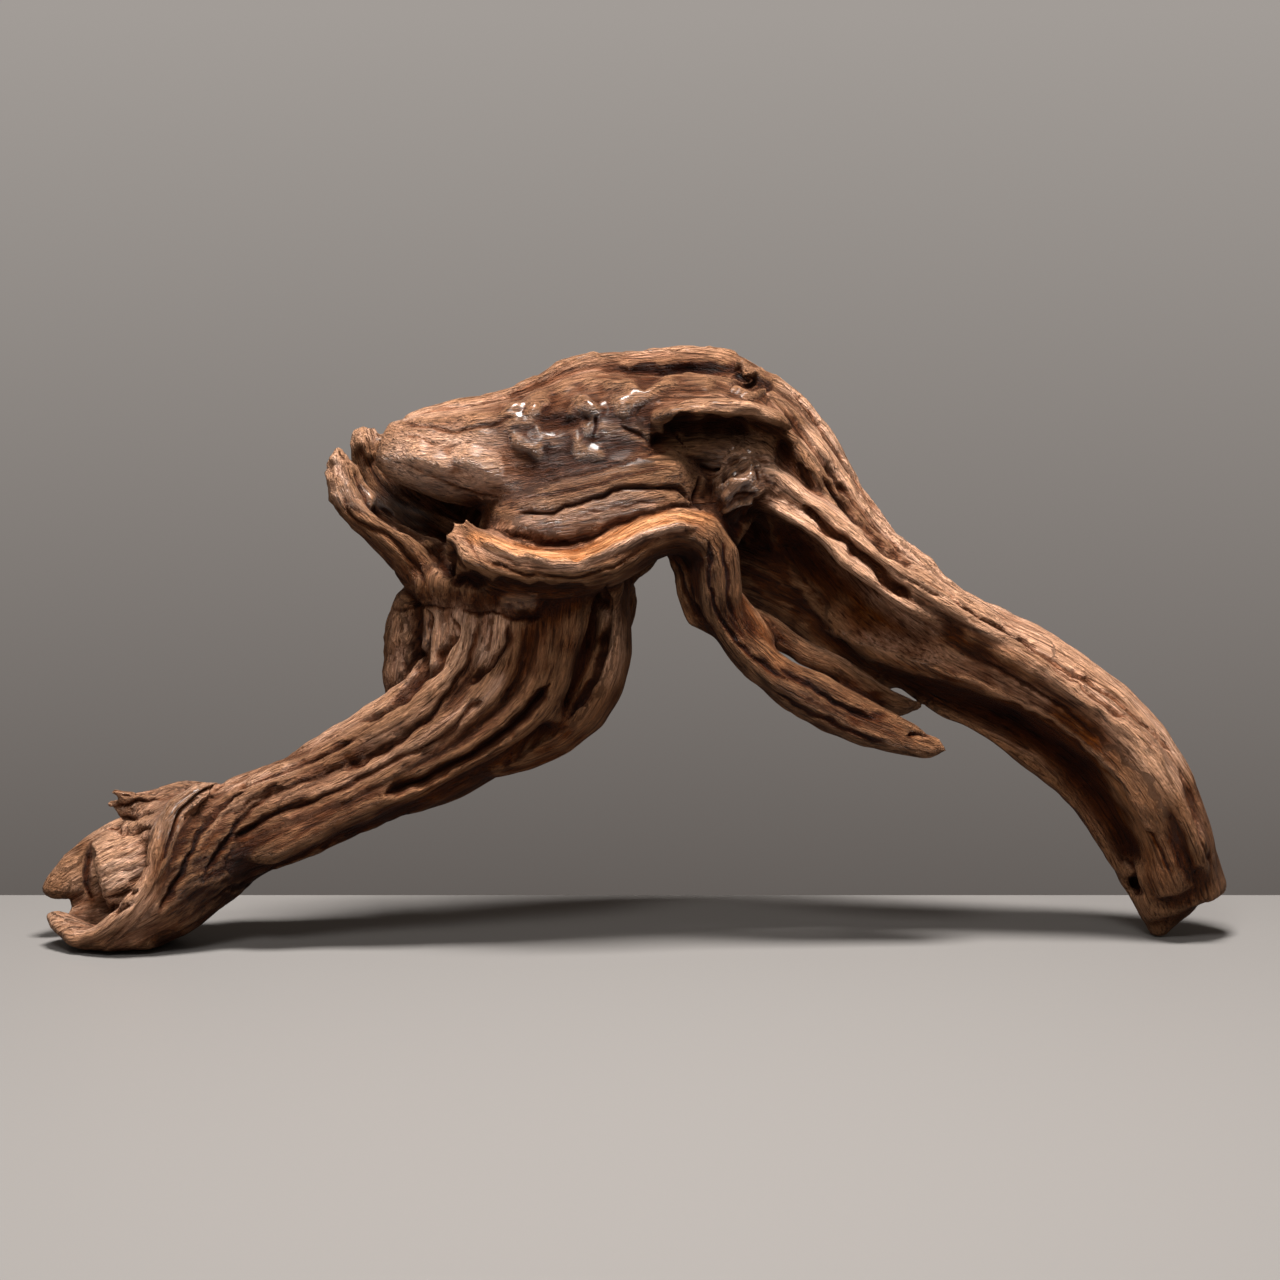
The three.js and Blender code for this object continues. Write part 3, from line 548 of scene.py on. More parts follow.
# (half width, depth, line); a depth below zero stands proud
FRONT_MARKS = [
    # hub: the lobe at its left, and the furrows between the strands that wrap round it
    (5, 8, [(-104, 153), (-110, 138), (-117, 126), (-127, 119)]),
    (2.6, 4, [(-108, 170), (-104, 162), (-104, 152)]),
    (3.2, 4.6, [(-93, 166), (-93, 155), (-99, 146), (-101, 139), (-110, 133), (-120, 122), (-142, 109)]),
    (3, 3.2, [
        (-81, 162), (-83, 152), (-85, 142), (-90, 134), (-99, 122), (-107, 112), (-128, 98), (-150, 87),
    ]),
    (3.8, 5.5, [(-65, 163), (-67, 152), (-73, 143), (-81, 134), (-87, 129)]),
    (2.8, 3, [(-77, 125), (-86, 117), (-95, 107), (-108, 99), (-128, 90)]),
    (5.2, 9, [
        (-44, 131), (-52, 121), (-60, 112), (-70, 105), (-80, 97), (-93, 90), (-109, 82), (-130, 74),
    ]),
    (4.6, 9.5, [(-17, 180), (-16, 161), (-19, 145), (-22, 134), (-28, 124), (-36, 113)]),
    (2, 1.6, [(-127, 170), (-118, 168), (-109, 170), (-98, 168), (-90, 170)]),
    (2.4, 2.4, [(-92, 170), (-84, 166), (-74, 166), (-65, 163), (-54, 162), (-46, 164)]),
    (3.4, 2.4, [(-78, 181), (-60, 180), (-40, 178), (-20, 180)]),
    (6, 4, [(-92, 182), (-86, 182), (-80, 180)]),
    (9, -2.6, [(-66, 172), (-56, 172)]),
    # trunk: long cracks down to the foot
    (2.8, 3.2, [(-140, 104), (-160, 95), (-185, 84), (-206, 77)]),
    (3.2, 3.4, [(-112, 96), (-136, 85), (-160, 74), (-186, 64), (-206, 51)]),
    (2.4, 2, [(-130, 62), (-160, 49), (-190, 35), (-215, 22)]),
    (2.4, 2.2, [(-144, 92), (-166, 82), (-190, 74), (-206, 64)]),
    # foot: ridges that curl down its front, the block of core and its fibres
    (2.8, 3.6, [(-206, 82), (-220, 75), (-230, 64), (-235, 51), (-238, 40)]),
    (3, 3.4, [(-194, 79), (-207, 71), (-217, 60), (-224, 48), (-232, 30), (-242, 14)]),
    (3, 3.2, [(-181, 82), (-191, 70), (-200, 63), (-208, 50), (-218, 34)]),
    (2.6, -2.2, [(-212, 79), (-226, 69), (-232, 58), (-236, 44), (-242, 30)]),
    (2.4, -1.8, [(-197, 79), (-209, 66), (-215, 58), (-222, 44)]),
    (1.8, 1.2, [(-273, 46), (-256, 50), (-243, 53)]),
    (1.5, 0.8, [(-274, 41), (-256, 44), (-242, 48)]),
    (1.8, 1.2, [(-273, 34), (-257, 37), (-242, 42)]),
    (1.5, 0.8, [(-272, 29), (-257, 32), (-243, 36)]),
    (2, 3, [(-270, 22), (-259, 25), (-247, 30)]),
    (4, 7, [(-275, 52), (-276, 42), (-276, 32), (-273, 22)]),
    (3, 5, [(-270, 17), (-260, 18), (-251, 23)]),
    (1.8, 3, [(-266, 74), (-252, 76), (-238, 79)]),
    (1.8, 3.4, [(-267, 69), (-252, 71), (-238, 74)]),
    (2, 3.4, [(-266, 63), (-252, 64), (-240, 68)]),
    (2.8, 4, [(-268, 58), (-256, 57), (-243, 60)]),
    # prong: a hollow behind its ridge and furrows up its face
    (3, 3, [(-98, 190), (-110, 203), (-124, 212), (-136, 222), (-143, 238)]),
    (2, 1.8, [(-106, 178), (-112, 190), (-126, 204), (-142, 213), (-150, 224)]),
    # crown: the crease under the rim, knots, pits and swellings of the polished face
    (2.2, 1.7, [(-121, 263), (-108, 259), (-96, 257), (-84, 258), (-74, 260), (-62, 266)]),
    (1.6, 1.2, [(-122, 257), (-110, 253), (-96, 251)]),
    (12, 4.4, [(-46, 264), (-36, 262)]),
    (9, -3, [(-54, 268), (-50, 272)]),
    (7, -3, [(-28, 272), (-24, 268)]),
    (9, -3.5, [(-10, 270), (-4, 274)]),
    (8, -2.6, [(-60, 252), (-54, 248)]),
    (11, -2.6, [(-86, 243), (-74, 238)]),
    (9, -2.4, [(-30, 248), (-22, 246)]),
    (10, -2.4, [(-110, 244), (-100, 240)]),
    (8, -2.2, [(10, 262), (16, 266)]),
    (2, 1.6, [(-28, 274), (-23, 267), (-22, 258), (-25, 250)]),
    (2, 2, [(-12, 262), (-4, 256), (6, 250)]),
    (1.9, 3.4, [(-62, 216), (-49, 216), (-32, 220), (-16, 226), (-2, 228), (19, 228), (28, 220)]),
    (1.4, 0.9, [(-60, 223), (-35, 227), (-12, 233), (10, 238), (24, 236)]),
    (1.4, 0.9, [(-50, 231), (-25, 236), (0, 243), (18, 250)]),
    (1.4, 1, [(-118, 240), (-104, 233), (-86, 227), (-64, 223)]),
    (1.4, 0.8, [(-40, 212), (-20, 217), (0, 221), (20, 222)]),
    (5, -3, [
        (-72, 264), (-50, 273), (-34, 279), (-20, 281), (-5, 278), (3, 274), (12, 280), (25, 281),
        (40, 279),
    ]),
    (6, 2.2, [
        (-70, 270), (-58, 276), (-46, 282), (-30, 288), (-14, 289), (0, 286), (12, 285), (24, 287),
        (36, 287), (54, 289),
    ]),
    (11, 2, [(-8, 284), (14, 284)]),
    (1.6, -1.6, [(-74, 274), (-50, 284), (-30, 293), (0, 296), (30, 299), (54, 295)]),
    (7, 4.5, [(50, 281), (58, 281), (63, 279)]),
    (3, -4, [(44, 286), (50, 290), (56, 285), (62, 288)]),
    (2.2, -3, [(46, 277), (54, 274), (62, 275)]),
    # ledge over the dark hollow, and the gnarled knob below it
    (2.6, -2.4, [(14, 269), (30, 270), (48, 270), (62, 266)]),
    (9, 5, [(8, 260), (26, 259), (40, 259), (58, 256)]),
    (2, 2.6, [(12, 262), (20, 252), (26, 246)]),
    (2, 2.6, [(30, 232), (27, 224), (31, 218)]),
    (4, -3.5, [(40, 240), (48, 245), (56, 243)]),
    (3, -3, [(38, 228), (47, 231), (57, 231)]),
    (1.6, 2, [(42, 222), (50, 225), (60, 226)]),
    (2.4, -2.6, [(42, 217), (48, 220), (54, 222)]),
    (2.2, 3, [(54, 246), (58, 238), (60, 229)]),
    (1.8, 2.2, [(36, 238), (34, 229), (36, 219)]),
    # ropes: the furrows between them, and the dark gap in their middle
    (4, 7, [(90, 236), (104, 218), (117, 203), (128, 196), (140, 186)]),
    (3.4, 5.5, [(78, 221), (91, 212), (101, 203), (111, 194), (122, 184), (138, 172)]),
    (2.8, 3.6, [(72, 268), (84, 252), (95, 236), (106, 222)]),
    (2.6, 3, [(74, 280), (88, 262), (100, 244), (112, 226), (126, 210)]),
    (2.2, 2.2, [(104, 240), (116, 224), (130, 208), (148, 190)]),
    (2, 1.8, [(120, 190), (136, 181), (156, 172)]),
    # right leg: its two long cracks, the proud line below them and its grained face
    (2.2, 3, [
        (150, 180), (167, 166), (188, 154), (212, 138), (230, 128), (247, 115), (261, 101), (268, 92),
    ]),
    (2.4, 3, [(181, 157), (202, 142), (223, 128), (240, 114), (254, 101)]),
    (4, -2, [(160, 162), (182, 153), (202, 138), (216, 127), (232, 116), (248, 104), (264, 88)]),
    (3, -1.6, [(90, 158), (125, 146), (160, 134), (188, 123), (212, 109), (230, 94), (247, 73), (258, 53)]),
    (2.2, 1.6, [(150, 152), (180, 138), (206, 122), (230, 102)]),
    (2.4, 1.2, [(246, 76), (254, 60), (260, 46), (268, 34)]),
    (2.4, 2, [(268, 92), (275, 74), (281, 54), (286, 36)]),
    (3.4, 3, [(245, 42), (247, 34), (249, 27)]),
    # shelf and tendril: the sharp edge of its top face and the splits of its fibres
    (3.6, -3.4, [
        (-82, 203), (-68, 196), (-52, 192), (-37, 190), (-23, 193), (-2, 203), (15, 209), (30, 209),
    ]),
    (3.6, 2.4, [(-72, 208), (-61, 204), (-37, 200), (-23, 204), (-9, 212), (15, 219), (34, 220)]),
    (1.6, 1.6, [(-80, 193), (-66, 188), (-48, 185), (-30, 184), (-14, 189), (4, 200)]),
    (9, 6, [(-99, 197), (-96, 188)]),
    (1.6, 2, [(-90, 206), (-84, 199), (-80, 192)]),
    (1.8, 1.8, [(33, 206), (35, 190), (36, 174), (44, 158), (58, 144), (76, 130)]),
    (1.8, 1.6, [(41, 204), (43, 186), (44, 172), (50, 160)]),
    (2.2, 2.2, [(68, 140), (76, 134), (88, 127), (104, 118), (122, 111)]),
    (1.8, 1.4, [(66, 128), (84, 117), (104, 108), (122, 101)]),
    (2.2, 3.4, [(150, 104), (142, 105), (134, 105)]),
    (2.2, 2.6, [(20, 192), (22, 180), (27, 168), (34, 160)]),
]

# The same marks on the back, which is worn like the front, in millimetres seen square on.
BACK_MARKS = [
    (4, 6, [(40, 250), (4, 240), (-28, 206), (-48, 168), (-72, 132), (-112, 104), (-160, 80), (-206, 60)]),
    (3, 3.4, [(28, 236), (-4, 222), (-30, 184), (-46, 150), (-66, 118), (-104, 92), (-150, 72)]),
    (4, 6, [(30, 252), (62, 236), (86, 204), (114, 170), (156, 140), (200, 112), (234, 84), (250, 50)]),
    (3, 3, [(50, 258), (82, 234), (108, 198), (144, 164), (190, 136), (230, 104), (256, 66)]),
    (2.4, 2.2, [(64, 212), (88, 182), (120, 152), (164, 124), (204, 96), (230, 62)]),
    (2.8, 3.6, [(90, 250), (114, 212), (150, 184), (196, 156), (240, 122), (268, 80), (282, 40)]),
    (3, 4, [(-110, 262), (-84, 258), (-56, 256), (-26, 262), (6, 270)]),
    (2.4, 2.6, [(-120, 250), (-92, 244), (-64, 240), (-34, 240), (-10, 246)]),
    (3, 4, [(-136, 248), (-122, 226), (-104, 210), (-80, 204), (-56, 206)]),
    (2.4, 2.4, [(-124, 232), (-108, 216), (-86, 196), (-66, 190)]),
    (3, 3.6, [(-96, 184), (-104, 160), (-108, 140), (-122, 120), (-150, 102), (-186, 84)]),
    (3, 4, [(-20, 170), (-26, 142), (-46, 118), (-80, 96), (-124, 74), (-170, 52)]),
    (2.4, 2.4, [(-200, 76), (-226, 66), (-250, 56), (-272, 42)]),
    (2.2, 2, [(-190, 52), (-220, 42), (-250, 30), (-276, 20)]),
    (8, 6, [(-20, 256), (-12, 254)]),
    (9, -3, [(-60, 250), (-52, 246)]),
    (10, -3, [(10, 262), (22, 258)]),
    (7, 5, [(92, 214), (96, 208)]),
    (7, 4, [(-74, 150), (-72, 144)]),
]


def in_front_view(points):
    """Where points lie on the front as it is looked at."""
    off = points - EYE
    away = off @ FORWARD
    sideways = LOOK_DISTANCE * off[:, 0] / away
    return np.stack([sideways, LOOK_HEIGHT + LOOK_DISTANCE * (off @ UPWARD) / away], axis=1)


def in_sight(points, normals, towards, tree):
    """1 for points that nothing hides on the way towards the eye, 0 for the others."""
    starts = placed(points + 0.7 * normals + 0.5 * towards)
    seen = np.einsum("ij,ij->i", normals, towards) > -0.1
    for i in np.flatnonzero(seen):
        if tree.ray_cast(Vector(starts[i]), Vector(towards[i]), 0.5)[0] is not None:
            seen[i] = False
    return seen.astype(float)


def seen_from(points, normals, soften, tree):
    """How well each point is seen from the front and, where it isn't, from the back, 0 to 1."""
    to_eye = EYE - points
    to_eye /= np.linalg.norm(to_eye, axis=1)[:, None]
    to_back = np.tile([0.0, 1.0, 0.0], (len(points), 1))
    front = spread(in_sight(points, normals, to_eye, tree), soften, skin)
    back = spread(in_sight(points, normals, to_back, tree), soften, skin)
    return front, back * (1 - front)


def carve(flat, sight, marks, wander):
    """How far each point sinks into the wood for these marks, which wander a little."""
    sunk = np.zeros(len(flat))
    spots = np.column_stack([flat, np.zeros(len(flat))]) + 1.4 * wander * [1, 1, 0]
    for width, depth, line in marks:
        drawn = smooth_line([(x, z, 0) for x, z in line], STEP)
        near = within(flat, drawn[:, :2], width * 1.6)
        near = near[sight[near] > 0.02]
        if not len(near):
            continue
        gap, segment, share = nearest_on(drawn, spots[near])
        along = (segment + share) / (len(drawn) - 1)
        length = STEP * (len(drawn) - 1)
        ends = np.clip(np.minimum(along, 1 - along) * length / FADE, 0.15, 1) if length > 2 * FADE else 1
        reach = 0.85 * width * (1 + 0.35 * wander[near, 2]) * ends**0.8
        fall = np.clip(1 - gap / reach, 0, 1)
        if depth < 0 or width > WIDE:
            shape = fall * fall * (3 - 2 * fall)
        else:
            shape = 0.45 * fall + 0.55 * np.clip(1.5 * fall - 0.5, 0, 1) ** 0.8
        effect = depth * ends * shape * sight[near]
        both = sunk[near]
        sunk[near] = np.where(np.abs(effect) > np.abs(both), effect + 0.25 * both, both + 0.25 * effect)
    return sunk


def carve_all(points, front, back):
    """How far each point sinks for the marks of the front and of the back together."""
    wander = np.stack([rough(points / 6, 5), rough(points / 6, 6), rough(points / 7, 7)], axis=1)
    on_front = carve(in_front_view(points), front, FRONT_MARKS, wander)
    return on_front + carve(points[:, [0, 2]], back, BACK_MARKS, wander)


points = corners(wood.data)
place, limb, seam = read_grain(points)
normals = outward(wood.data)

# How strongly each limb is furrowed; the crown is worn smooth and lumpy, and so is the leg.
FURROWED = {
    "crown": 0.35, "band": 0.2, "rear_rim": 0.6, "ledge": 0.6, "core": 0.5, "lip": 0.4, "back_shell": 0.5,
    "collar": 0.5, "right_lobe": 0.45, "front_ridge": 0.5, "shelf": 0.55, "ridge": 0.7,
}
furrowed = np.array([FURROWED.get(name, 0.85) for name in GRAIN_LINES])[limb]
wander = np.stack([0 * points[:, 0], rough(points / 26, 21), rough(points / 26, 22)], axis=1)
place = place + 4.0 * wander + 1.2 * np.roll(wander, 1, axis=1) * rough(points / 8, 23)[:, None]

SMOOTH_FACES = [(1.0, (-28, -30, 140), (34, 50, 46)), (1.0, (235, -10, 95), (80, 50, 60))]
GNARLED = [
    (1.0, (52, -30, 236), (22, 24, 20)),
    (1.0, (56, 0, 282), (16, 20, 12)),
    (0.8, (-148, -16, 236), (16, 16, 26)),
    (0.8, (-134, 12, 250), (16, 14, 16)),
    (0.5, (-118, -10, 150), (16, 30, 26)),
    (0.35, (-34, -34, 264), (44, 20, 22)),
]
skin = neighbours(wood.data)
tree = BVHTree.FromObject(wood, bpy.context.evaluated_depsgraph_get())
front, back = seen_from(points, normals, 3, tree)


def layered(place, thick, along, seed):
    """Torn layers along the grain: each sinks slowly to the sharp edge of the next, 0 to 1."""
    spot = place[:, 1] / thick + 0.9 * fibres(place, along, 2.2 * thick, seed) + 0.3 * place[:, 2] / thick
    share = spot - np.floor(spot)
    return share**1.4 * np.clip(8 * (1 - share), 0, 1)


broad = layered(place, 13, 60, 11)
middling = layered(place, 5.5, 30, 12)
cracks = fibres(place, 70, 12, 20)
narrow = fibres(place, 24, 3.2, 13)
woolly = fibres(place, 7, 2.6, 16)
swell = rough(points / 23, 14)
dents = rough(points / 9, 15)
crumpled = rough(points / 5, 18) + 0.6 * rough(points / 2.6, 19)

# How deep each kind of furrow, crack, swelling and dent goes, in millimetres.
worn = furrowed * (1 - 0.75 * strongest(points, SMOOTH_FACES))
patchy = np.clip(0.5 + rough(points / 40, 17), 0, 1.2)
depth = 1.2 * worn * patchy * broad + 0.7 * worn * np.clip(1.2 - patchy, 0.2, 1) * middling
depth += 0.45 * worn * patchy * (1 - np.abs(cracks)) ** 7 + 0.45 * worn * (1 - np.abs(narrow)) ** 2
depth += 0.9 * swell + 0.6 * dents + 0.35 * woolly * worn + 0.1 * seam * worn - 0.5
depth += 2.4 * strongest(points, GNARLED) * crumpled
depth += carve_all(points, front, back)

# No place is cut deeper than about a third of the wood under it, and nothing leaves the box.
DEEPEST_LOOK = 0.02
starts = placed(points - 0.4 * normals)
thick = np.array([
    tree.ray_cast(Vector(start), Vector(inward), DEEPEST_LOOK)[3] or DEEPEST_LOOK
    for start, inward in zip(starts, -normals)
])
points -= normals * np.minimum(depth, 0.35 * thick / MM)[:, None]
low, high = (np.array(corner) / MM + DRAWN_MIDDLE for corner in cad_box)
put_back(wood.data, np.clip(points, low + 0.05, high - 0.05))
finish_with("SMOOTH", factor=0.35, iterations=1)

bpy.ops.object.select_all(action="DESELECT")
wood.select_set(True)
TRIANGLES_KEPT = 192000
faces = sum(len(face.vertices) - 2 for face in wood.data.polygons)
finish_with("DECIMATE", ratio=min(1.0, TRIANGLES_KEPT / faces), use_collapse_triangulate=True)
keep_the_root(wood.data)
bpy.ops.object.shade_smooth()

# ------------------------------------------------------------
# What the weather left on the surface, and the light and shade painted on it, held as values on the skin:
# the run of the grain, how deep a place lies and the shade painted there, where it is rubbed to a shine,
# where it is bleached and where light is painted, where it is stained and where shade is painted, and where
# it is still red-brown.
# ------------------------------------------------------------

points = corners(wood.data)
normals = outward(wood.data)
place = read_grain(points)[0]
skin = neighbours(wood.data)
near_form = spread(points, 6, skin)
wide_form = spread(near_form, 40, skin)
fine_hollow = np.einsum("ij,ij->i", near_form - points, normals)
wide_hollow = np.einsum("ij,ij->i", wide_form - points, normals)

# (half width, strength, line) on the front, drawn like the marks
# bleached wood and painted light: paler strokes where the wood is bleached and on its lit tops and faces
BLEACHED_AND_LIT = [
    (13, 1, [(148, 181), (170, 172), (190, 160), (214, 145), (238, 128), (254, 112)]),
    (6, 0.8, [(200, 144), (224, 130), (244, 112), (258, 94), (266, 80)]),
    (6, 1, [(67, 222), (85, 211), (99, 196), (115, 183), (128, 171), (145, 160)]),
    (6, 1, [(77, 227), (93, 217), (107, 204), (120, 191), (133, 184), (146, 178)]),
    (7, 1, [(87, 254), (101, 238), (115, 222), (128, 208), (147, 187)]),
    (4, 0.8, [(72, 282), (88, 268), (102, 248), (118, 228)]),
    (4, 0.9, [(39, 237), (46, 245), (56, 246), (66, 240), (72, 232)]),
    (3, 1, [(-94, 210), (-91, 204), (-88, 197)]),
    (6, 1, [(-82, 202), (-66, 198), (-50, 195), (-36, 193), (-23, 197), (-6, 206), (15, 213), (34, 213)]),
    (3, 0.9, [
        (-124, 264), (-104, 266), (-82, 270), (-60, 277), (-34, 287), (-6, 293), (18, 296), (40, 296),
    ]),
    (4, 0.6, [(12, 272), (32, 272), (52, 270), (64, 266)]),
    (22, 1, [(-262, 26), (-257, 48)]),
    (14, 0.8, [(214, 140), (240, 122), (262, 92)]),
    (10, 0.6, [(-292, 12), (-276, 12)]),
    (8, 0.55, [(-262, 70), (-244, 73)]),
    (3.5, 0.9, [(48, 176), (56, 167), (63, 156), (69, 142)]),
    (5, 0.7, [(-150, 226), (-153, 236), (-154, 246)]),
    (5, 0.7, [(-144, 254), (-132, 258)]),
    (5, 0.75, [(-100, 166), (-98, 152), (-108, 139), (-120, 129), (-140, 114), (-164, 101)]),
    (5, 0.65, [(-87, 158), (-90, 142), (-98, 131), (-112, 116), (-134, 101)]),
    (8, 1, [(-73, 160), (-77, 148)]),
    (9, 0.7, [(-92, 162), (-90, 148), (-98, 136)]),
    (5, 0.55, [(-72, 132), (-84, 120), (-104, 104), (-130, 90), (-160, 80)]),
    (6, 0.6, [(-120, 160), (-120, 140), (-126, 126)]),
    (4, 0.8, [(-176, 88), (-196, 82), (-214, 78), (-226, 70), (-232, 60)]),
    (4, 0.6, [(-150, 84), (-176, 76), (-198, 70), (-210, 62), (-218, 50)]),
    (5, 0.7, [(-16, 164), (-12, 150), (-16, 134)]),
    (15, 0.85, [(-112, 246), (-92, 243), (-72, 240)]),
    (8, 0.35, [(-62, 208), (-40, 211), (-16, 216), (4, 222)]),
    (7, 0.4, [(-58, 268), (-28, 274), (0, 274)]),
    (6, 0.4, [(120, 152), (160, 142), (200, 122)]),
    (5, 0.6, [(138, 102), (152, 100)]),
]
ORANGE = [
    (7, 1, [(-84, 204), (-66, 199), (-50, 196), (-36, 194), (-23, 198), (-6, 208), (15, 214), (34, 213)]),
    (8, 0.8, [(-68, 172), (-52, 172), (-36, 170)]),
    (6, 0.7, [(-116, 258), (-90, 264), (-60, 272), (-30, 283), (0, 288), (30, 290)]),
    (16, 0.8, [(44, 206), (44, 184), (48, 166), (62, 148), (90, 122), (134, 104)]),
    (22, 0.8, [(-10, 130), (-30, 106), (-60, 92)]),
    (8, 0.8, [(-84, 92), (-110, 74), (-140, 62), (-180, 48)]),
    (14, 0.8, [(230, 90), (252, 60), (268, 36)]),
    (20, 0.7, [(110, 160), (150, 148), (190, 130)]),
]
# stains and painted shade: darker under the ledge, in the valley behind the crown's rim, in gaps and on the
# low front faces where shade falls
STAINED_AND_SHADED = [
    (18, 0.6, [(6, 250), (16, 240), (28, 236)]),
    (22, 1, [(40, 200), (44, 170), (60, 146), (84, 126), (110, 112), (140, 104)]),
    (28, 1, [(-224, 40), (-190, 38)]),
    (24, 0.4, [(-100, 104), (-140, 86), (-190, 64)]),
    (34, 0.85, [(-44, 254), (-20, 252), (4, 252)]),
    (14, 0.6, [(-120, 222), (-106, 213), (-93, 208), (-82, 211)]),
    (18, 0.85, [(-228, 36), (-216, 20)]),
    (15, 0.8, [(-120, 66), (-156, 52), (-190, 36), (-208, 24)]),
    (16, 0.45, [(-28, 140), (-44, 116), (-70, 96)]),
    (12, 0.65, [(60, 140), (84, 124), (110, 110), (140, 102)]),
    (10, 0.4, [(250, 80), (266, 56), (276, 36)]),
    (8, 0.8, [(-42, 264), (-36, 263)]),
    (12, 0.35, [(16, 258), (36, 254), (56, 252)]),
    (13, 0.8, [(-12, 284), (4, 283), (20, 284), (36, 284)]),
    (9, 0.6, [(34, 287), (50, 288)]),
    (8, 0.8, [(52, 281), (62, 280)]),
    (18, 0.6, [(56, 206), (66, 190), (84, 176)]),
    (9, 0.5, [(-92, 182), (-78, 181)]),
    (10, 0.4, [(120, 132), (150, 124), (184, 112)]),
    (8, 0.4, [(200, 106), (222, 84), (238, 58), (246, 40)]),
    (4, 0.8, [(-278, 50), (-278, 36), (-274, 22)]),
    (8, 0.6, [(22, 196), (24, 178), (32, 162)]),
    (7, 0.5, [(-108, 152), (-114, 136), (-124, 124)]),
]
SHINY = [
    (10, 1, [(-84, 246), (-74, 242), (-64, 240)]),
    (6, 1, [(-62, 230), (-54, 222), (-50, 218)]),
    (5, 1, [(-60, 270), (-56, 266)]),
    (6, 1, [(-30, 274), (-24, 270)]),
    (6, 0.8, [(-12, 276), (0, 270)]),
    (7, 0.9, [(-24, 260), (-20, 252)]),
    (6, 1, [(-56, 212), (-40, 212)]),
    (6, 0.9, [(-30, 218), (-14, 220), (0, 218)]),
    (20, 0.6, [(-110, 246), (-60, 244), (-20, 256)]),
    (12, 0.8, [(44, 238), (54, 236)]),
    (6, 0.8, [(44, 222), (52, 220)]),
    (7, 1, [(-226, 78), (-234, 70), (-238, 60)]),
    (5, 0.8, [(-112, 212), (-130, 220), (-148, 226)]),
    (6, 0.5, [(-104, 160), (-106, 146), (-116, 132)]),
]


def painted(flat, sight, strokes):
    """How strongly each point is covered by these strokes."""
    cover = np.zeros(len(flat))
    spots = np.column_stack([flat, np.zeros(len(flat))])
    for width, strength, line in strokes:
        drawn = smooth_line([(x, z, 0) for x, z in line], 4.0)
        near = within(flat, drawn[:, :2], width * 1.5)
        fall = np.clip(1.4 - nearest_on(drawn, spots[near])[0] / width, 0, 1)
        cover[near] = np.maximum(cover[near], strength * fall * fall * (3 - 2 * fall) * sight[near])
    return cover


flat = in_front_view(points)
tree = BVHTree.FromObject(wood, bpy.context.evaluated_depsgraph_get())
sight, behind = seen_from(points, normals, 2, tree)
cracked = carve_all(points, sight, behind)
upward = np.clip(normals[:, 2], 0, 1)
under = np.clip(-normals[:, 2] - 0.1, 0, 1)
# The depth is 0 on the top of a ridge and 1 in a crack, and grows on the faces that turn down; it is
# painted shade in cracks, furrows and undersides, lessened in some hollows that are open to the light.
OPEN_HOLLOWS = [
    (0.4, (36, -24, 254), (36, 30, 18)),
    (0.3, (-256, -12, 44), (20, 26, 28)),
    (0.3, (246, -14, 72), (24, 40, 44)),
    (0.2, (120, -10, 165), (60, 30, 40)),
]
deep = 0.5 + 0.28 * fine_hollow + 0.10 * wide_hollow + 0.045 * np.clip(cracked, -4, 7) + 0.12 * under
for strength, centre, size in OPEN_HOLLOWS:
    deep -= strength * around(points, centre, size)
deep = np.clip(deep, 0, 1)
# darker where stained and where shade is painted, and painted shade on the faces that turn down
stain_and_shade = np.maximum(painted(flat, sight, STAINED_AND_SHADED), 0.45 * np.clip(1.6 * under, 0, 1))
polish = np.maximum(painted(flat, sight, SHINY), 0.35 * np.clip(cracked / -3, 0, 1))
# paler where the wood is bleached and where light is painted: on the strokes, on every top, and more on
# tops out of the front's sight
pale = np.maximum.reduce([
    painted(flat, sight, BLEACHED_AND_LIT),
    (1 - sight) * upward * 0.7,
    upward * 0.38,
])
BROKEN_OPEN = [
    (0.7, (110, 0, 190), (60, 60, 50)),
    (0.9, (215, 0, 100), (110, 60, 90)),
    (0.8, (-40, 0, 140), (60, 60, 60)),
    (0.45, (-150, 0, 70), (110, 60, 60)),
]
red = np.maximum(painted(flat, sight, ORANGE), strongest(points, BROKEN_OPEN))


def keep_value(name, values):
    """Stores one value, or one direction, for each point of the skin."""
    kind = "FLOAT" if values.ndim == 1 else "FLOAT_VECTOR"
    layer = wood.data.attributes.new(name, kind, "POINT")
    layer.data.foreach_set("value" if values.ndim == 1 else "vector", values.astype(np.float32).ravel())


keep_value("grain_run", place * MM)
keep_value("painted_hollow_shade", deep)
keep_value("polish", spread(polish, 4, skin))
keep_value("bleach_and_painted_light", spread(pale, 4, skin))
keep_value("red_brown", spread(red, 4, skin))
keep_value("stain_and_shade", spread(stain_and_shade, 3, skin))

# ------------------------------------------------------------
# The finish: old root wood, with shade painted dark into its furrows and undersides, bleached on its tops
# with painted light there and on lit faces, stained and painted with shade in places, red-brown where it
# was broken open, and rubbed to a waxy shine on the swellings of the crown.
# ------------------------------------------------------------

finish = bpy.data.materials.new("old_root_wood")
finish.use_nodes = True
nodes = finish.node_tree.nodes
join = finish.node_tree.links.new
shader = nodes["Principled BSDF"]


def value_of(name, socket="Fac"):
    """A value that is held on the skin."""
    node = nodes.new("ShaderNodeAttribute")
    node.attribute_name = name
    return node.outputs[socket]


def set_input(socket, value):
    """Joins an output to the socket, or sets the socket's own value."""
    if hasattr(value, "links"):
        join(value, socket)
    else:
        socket.default_value = value


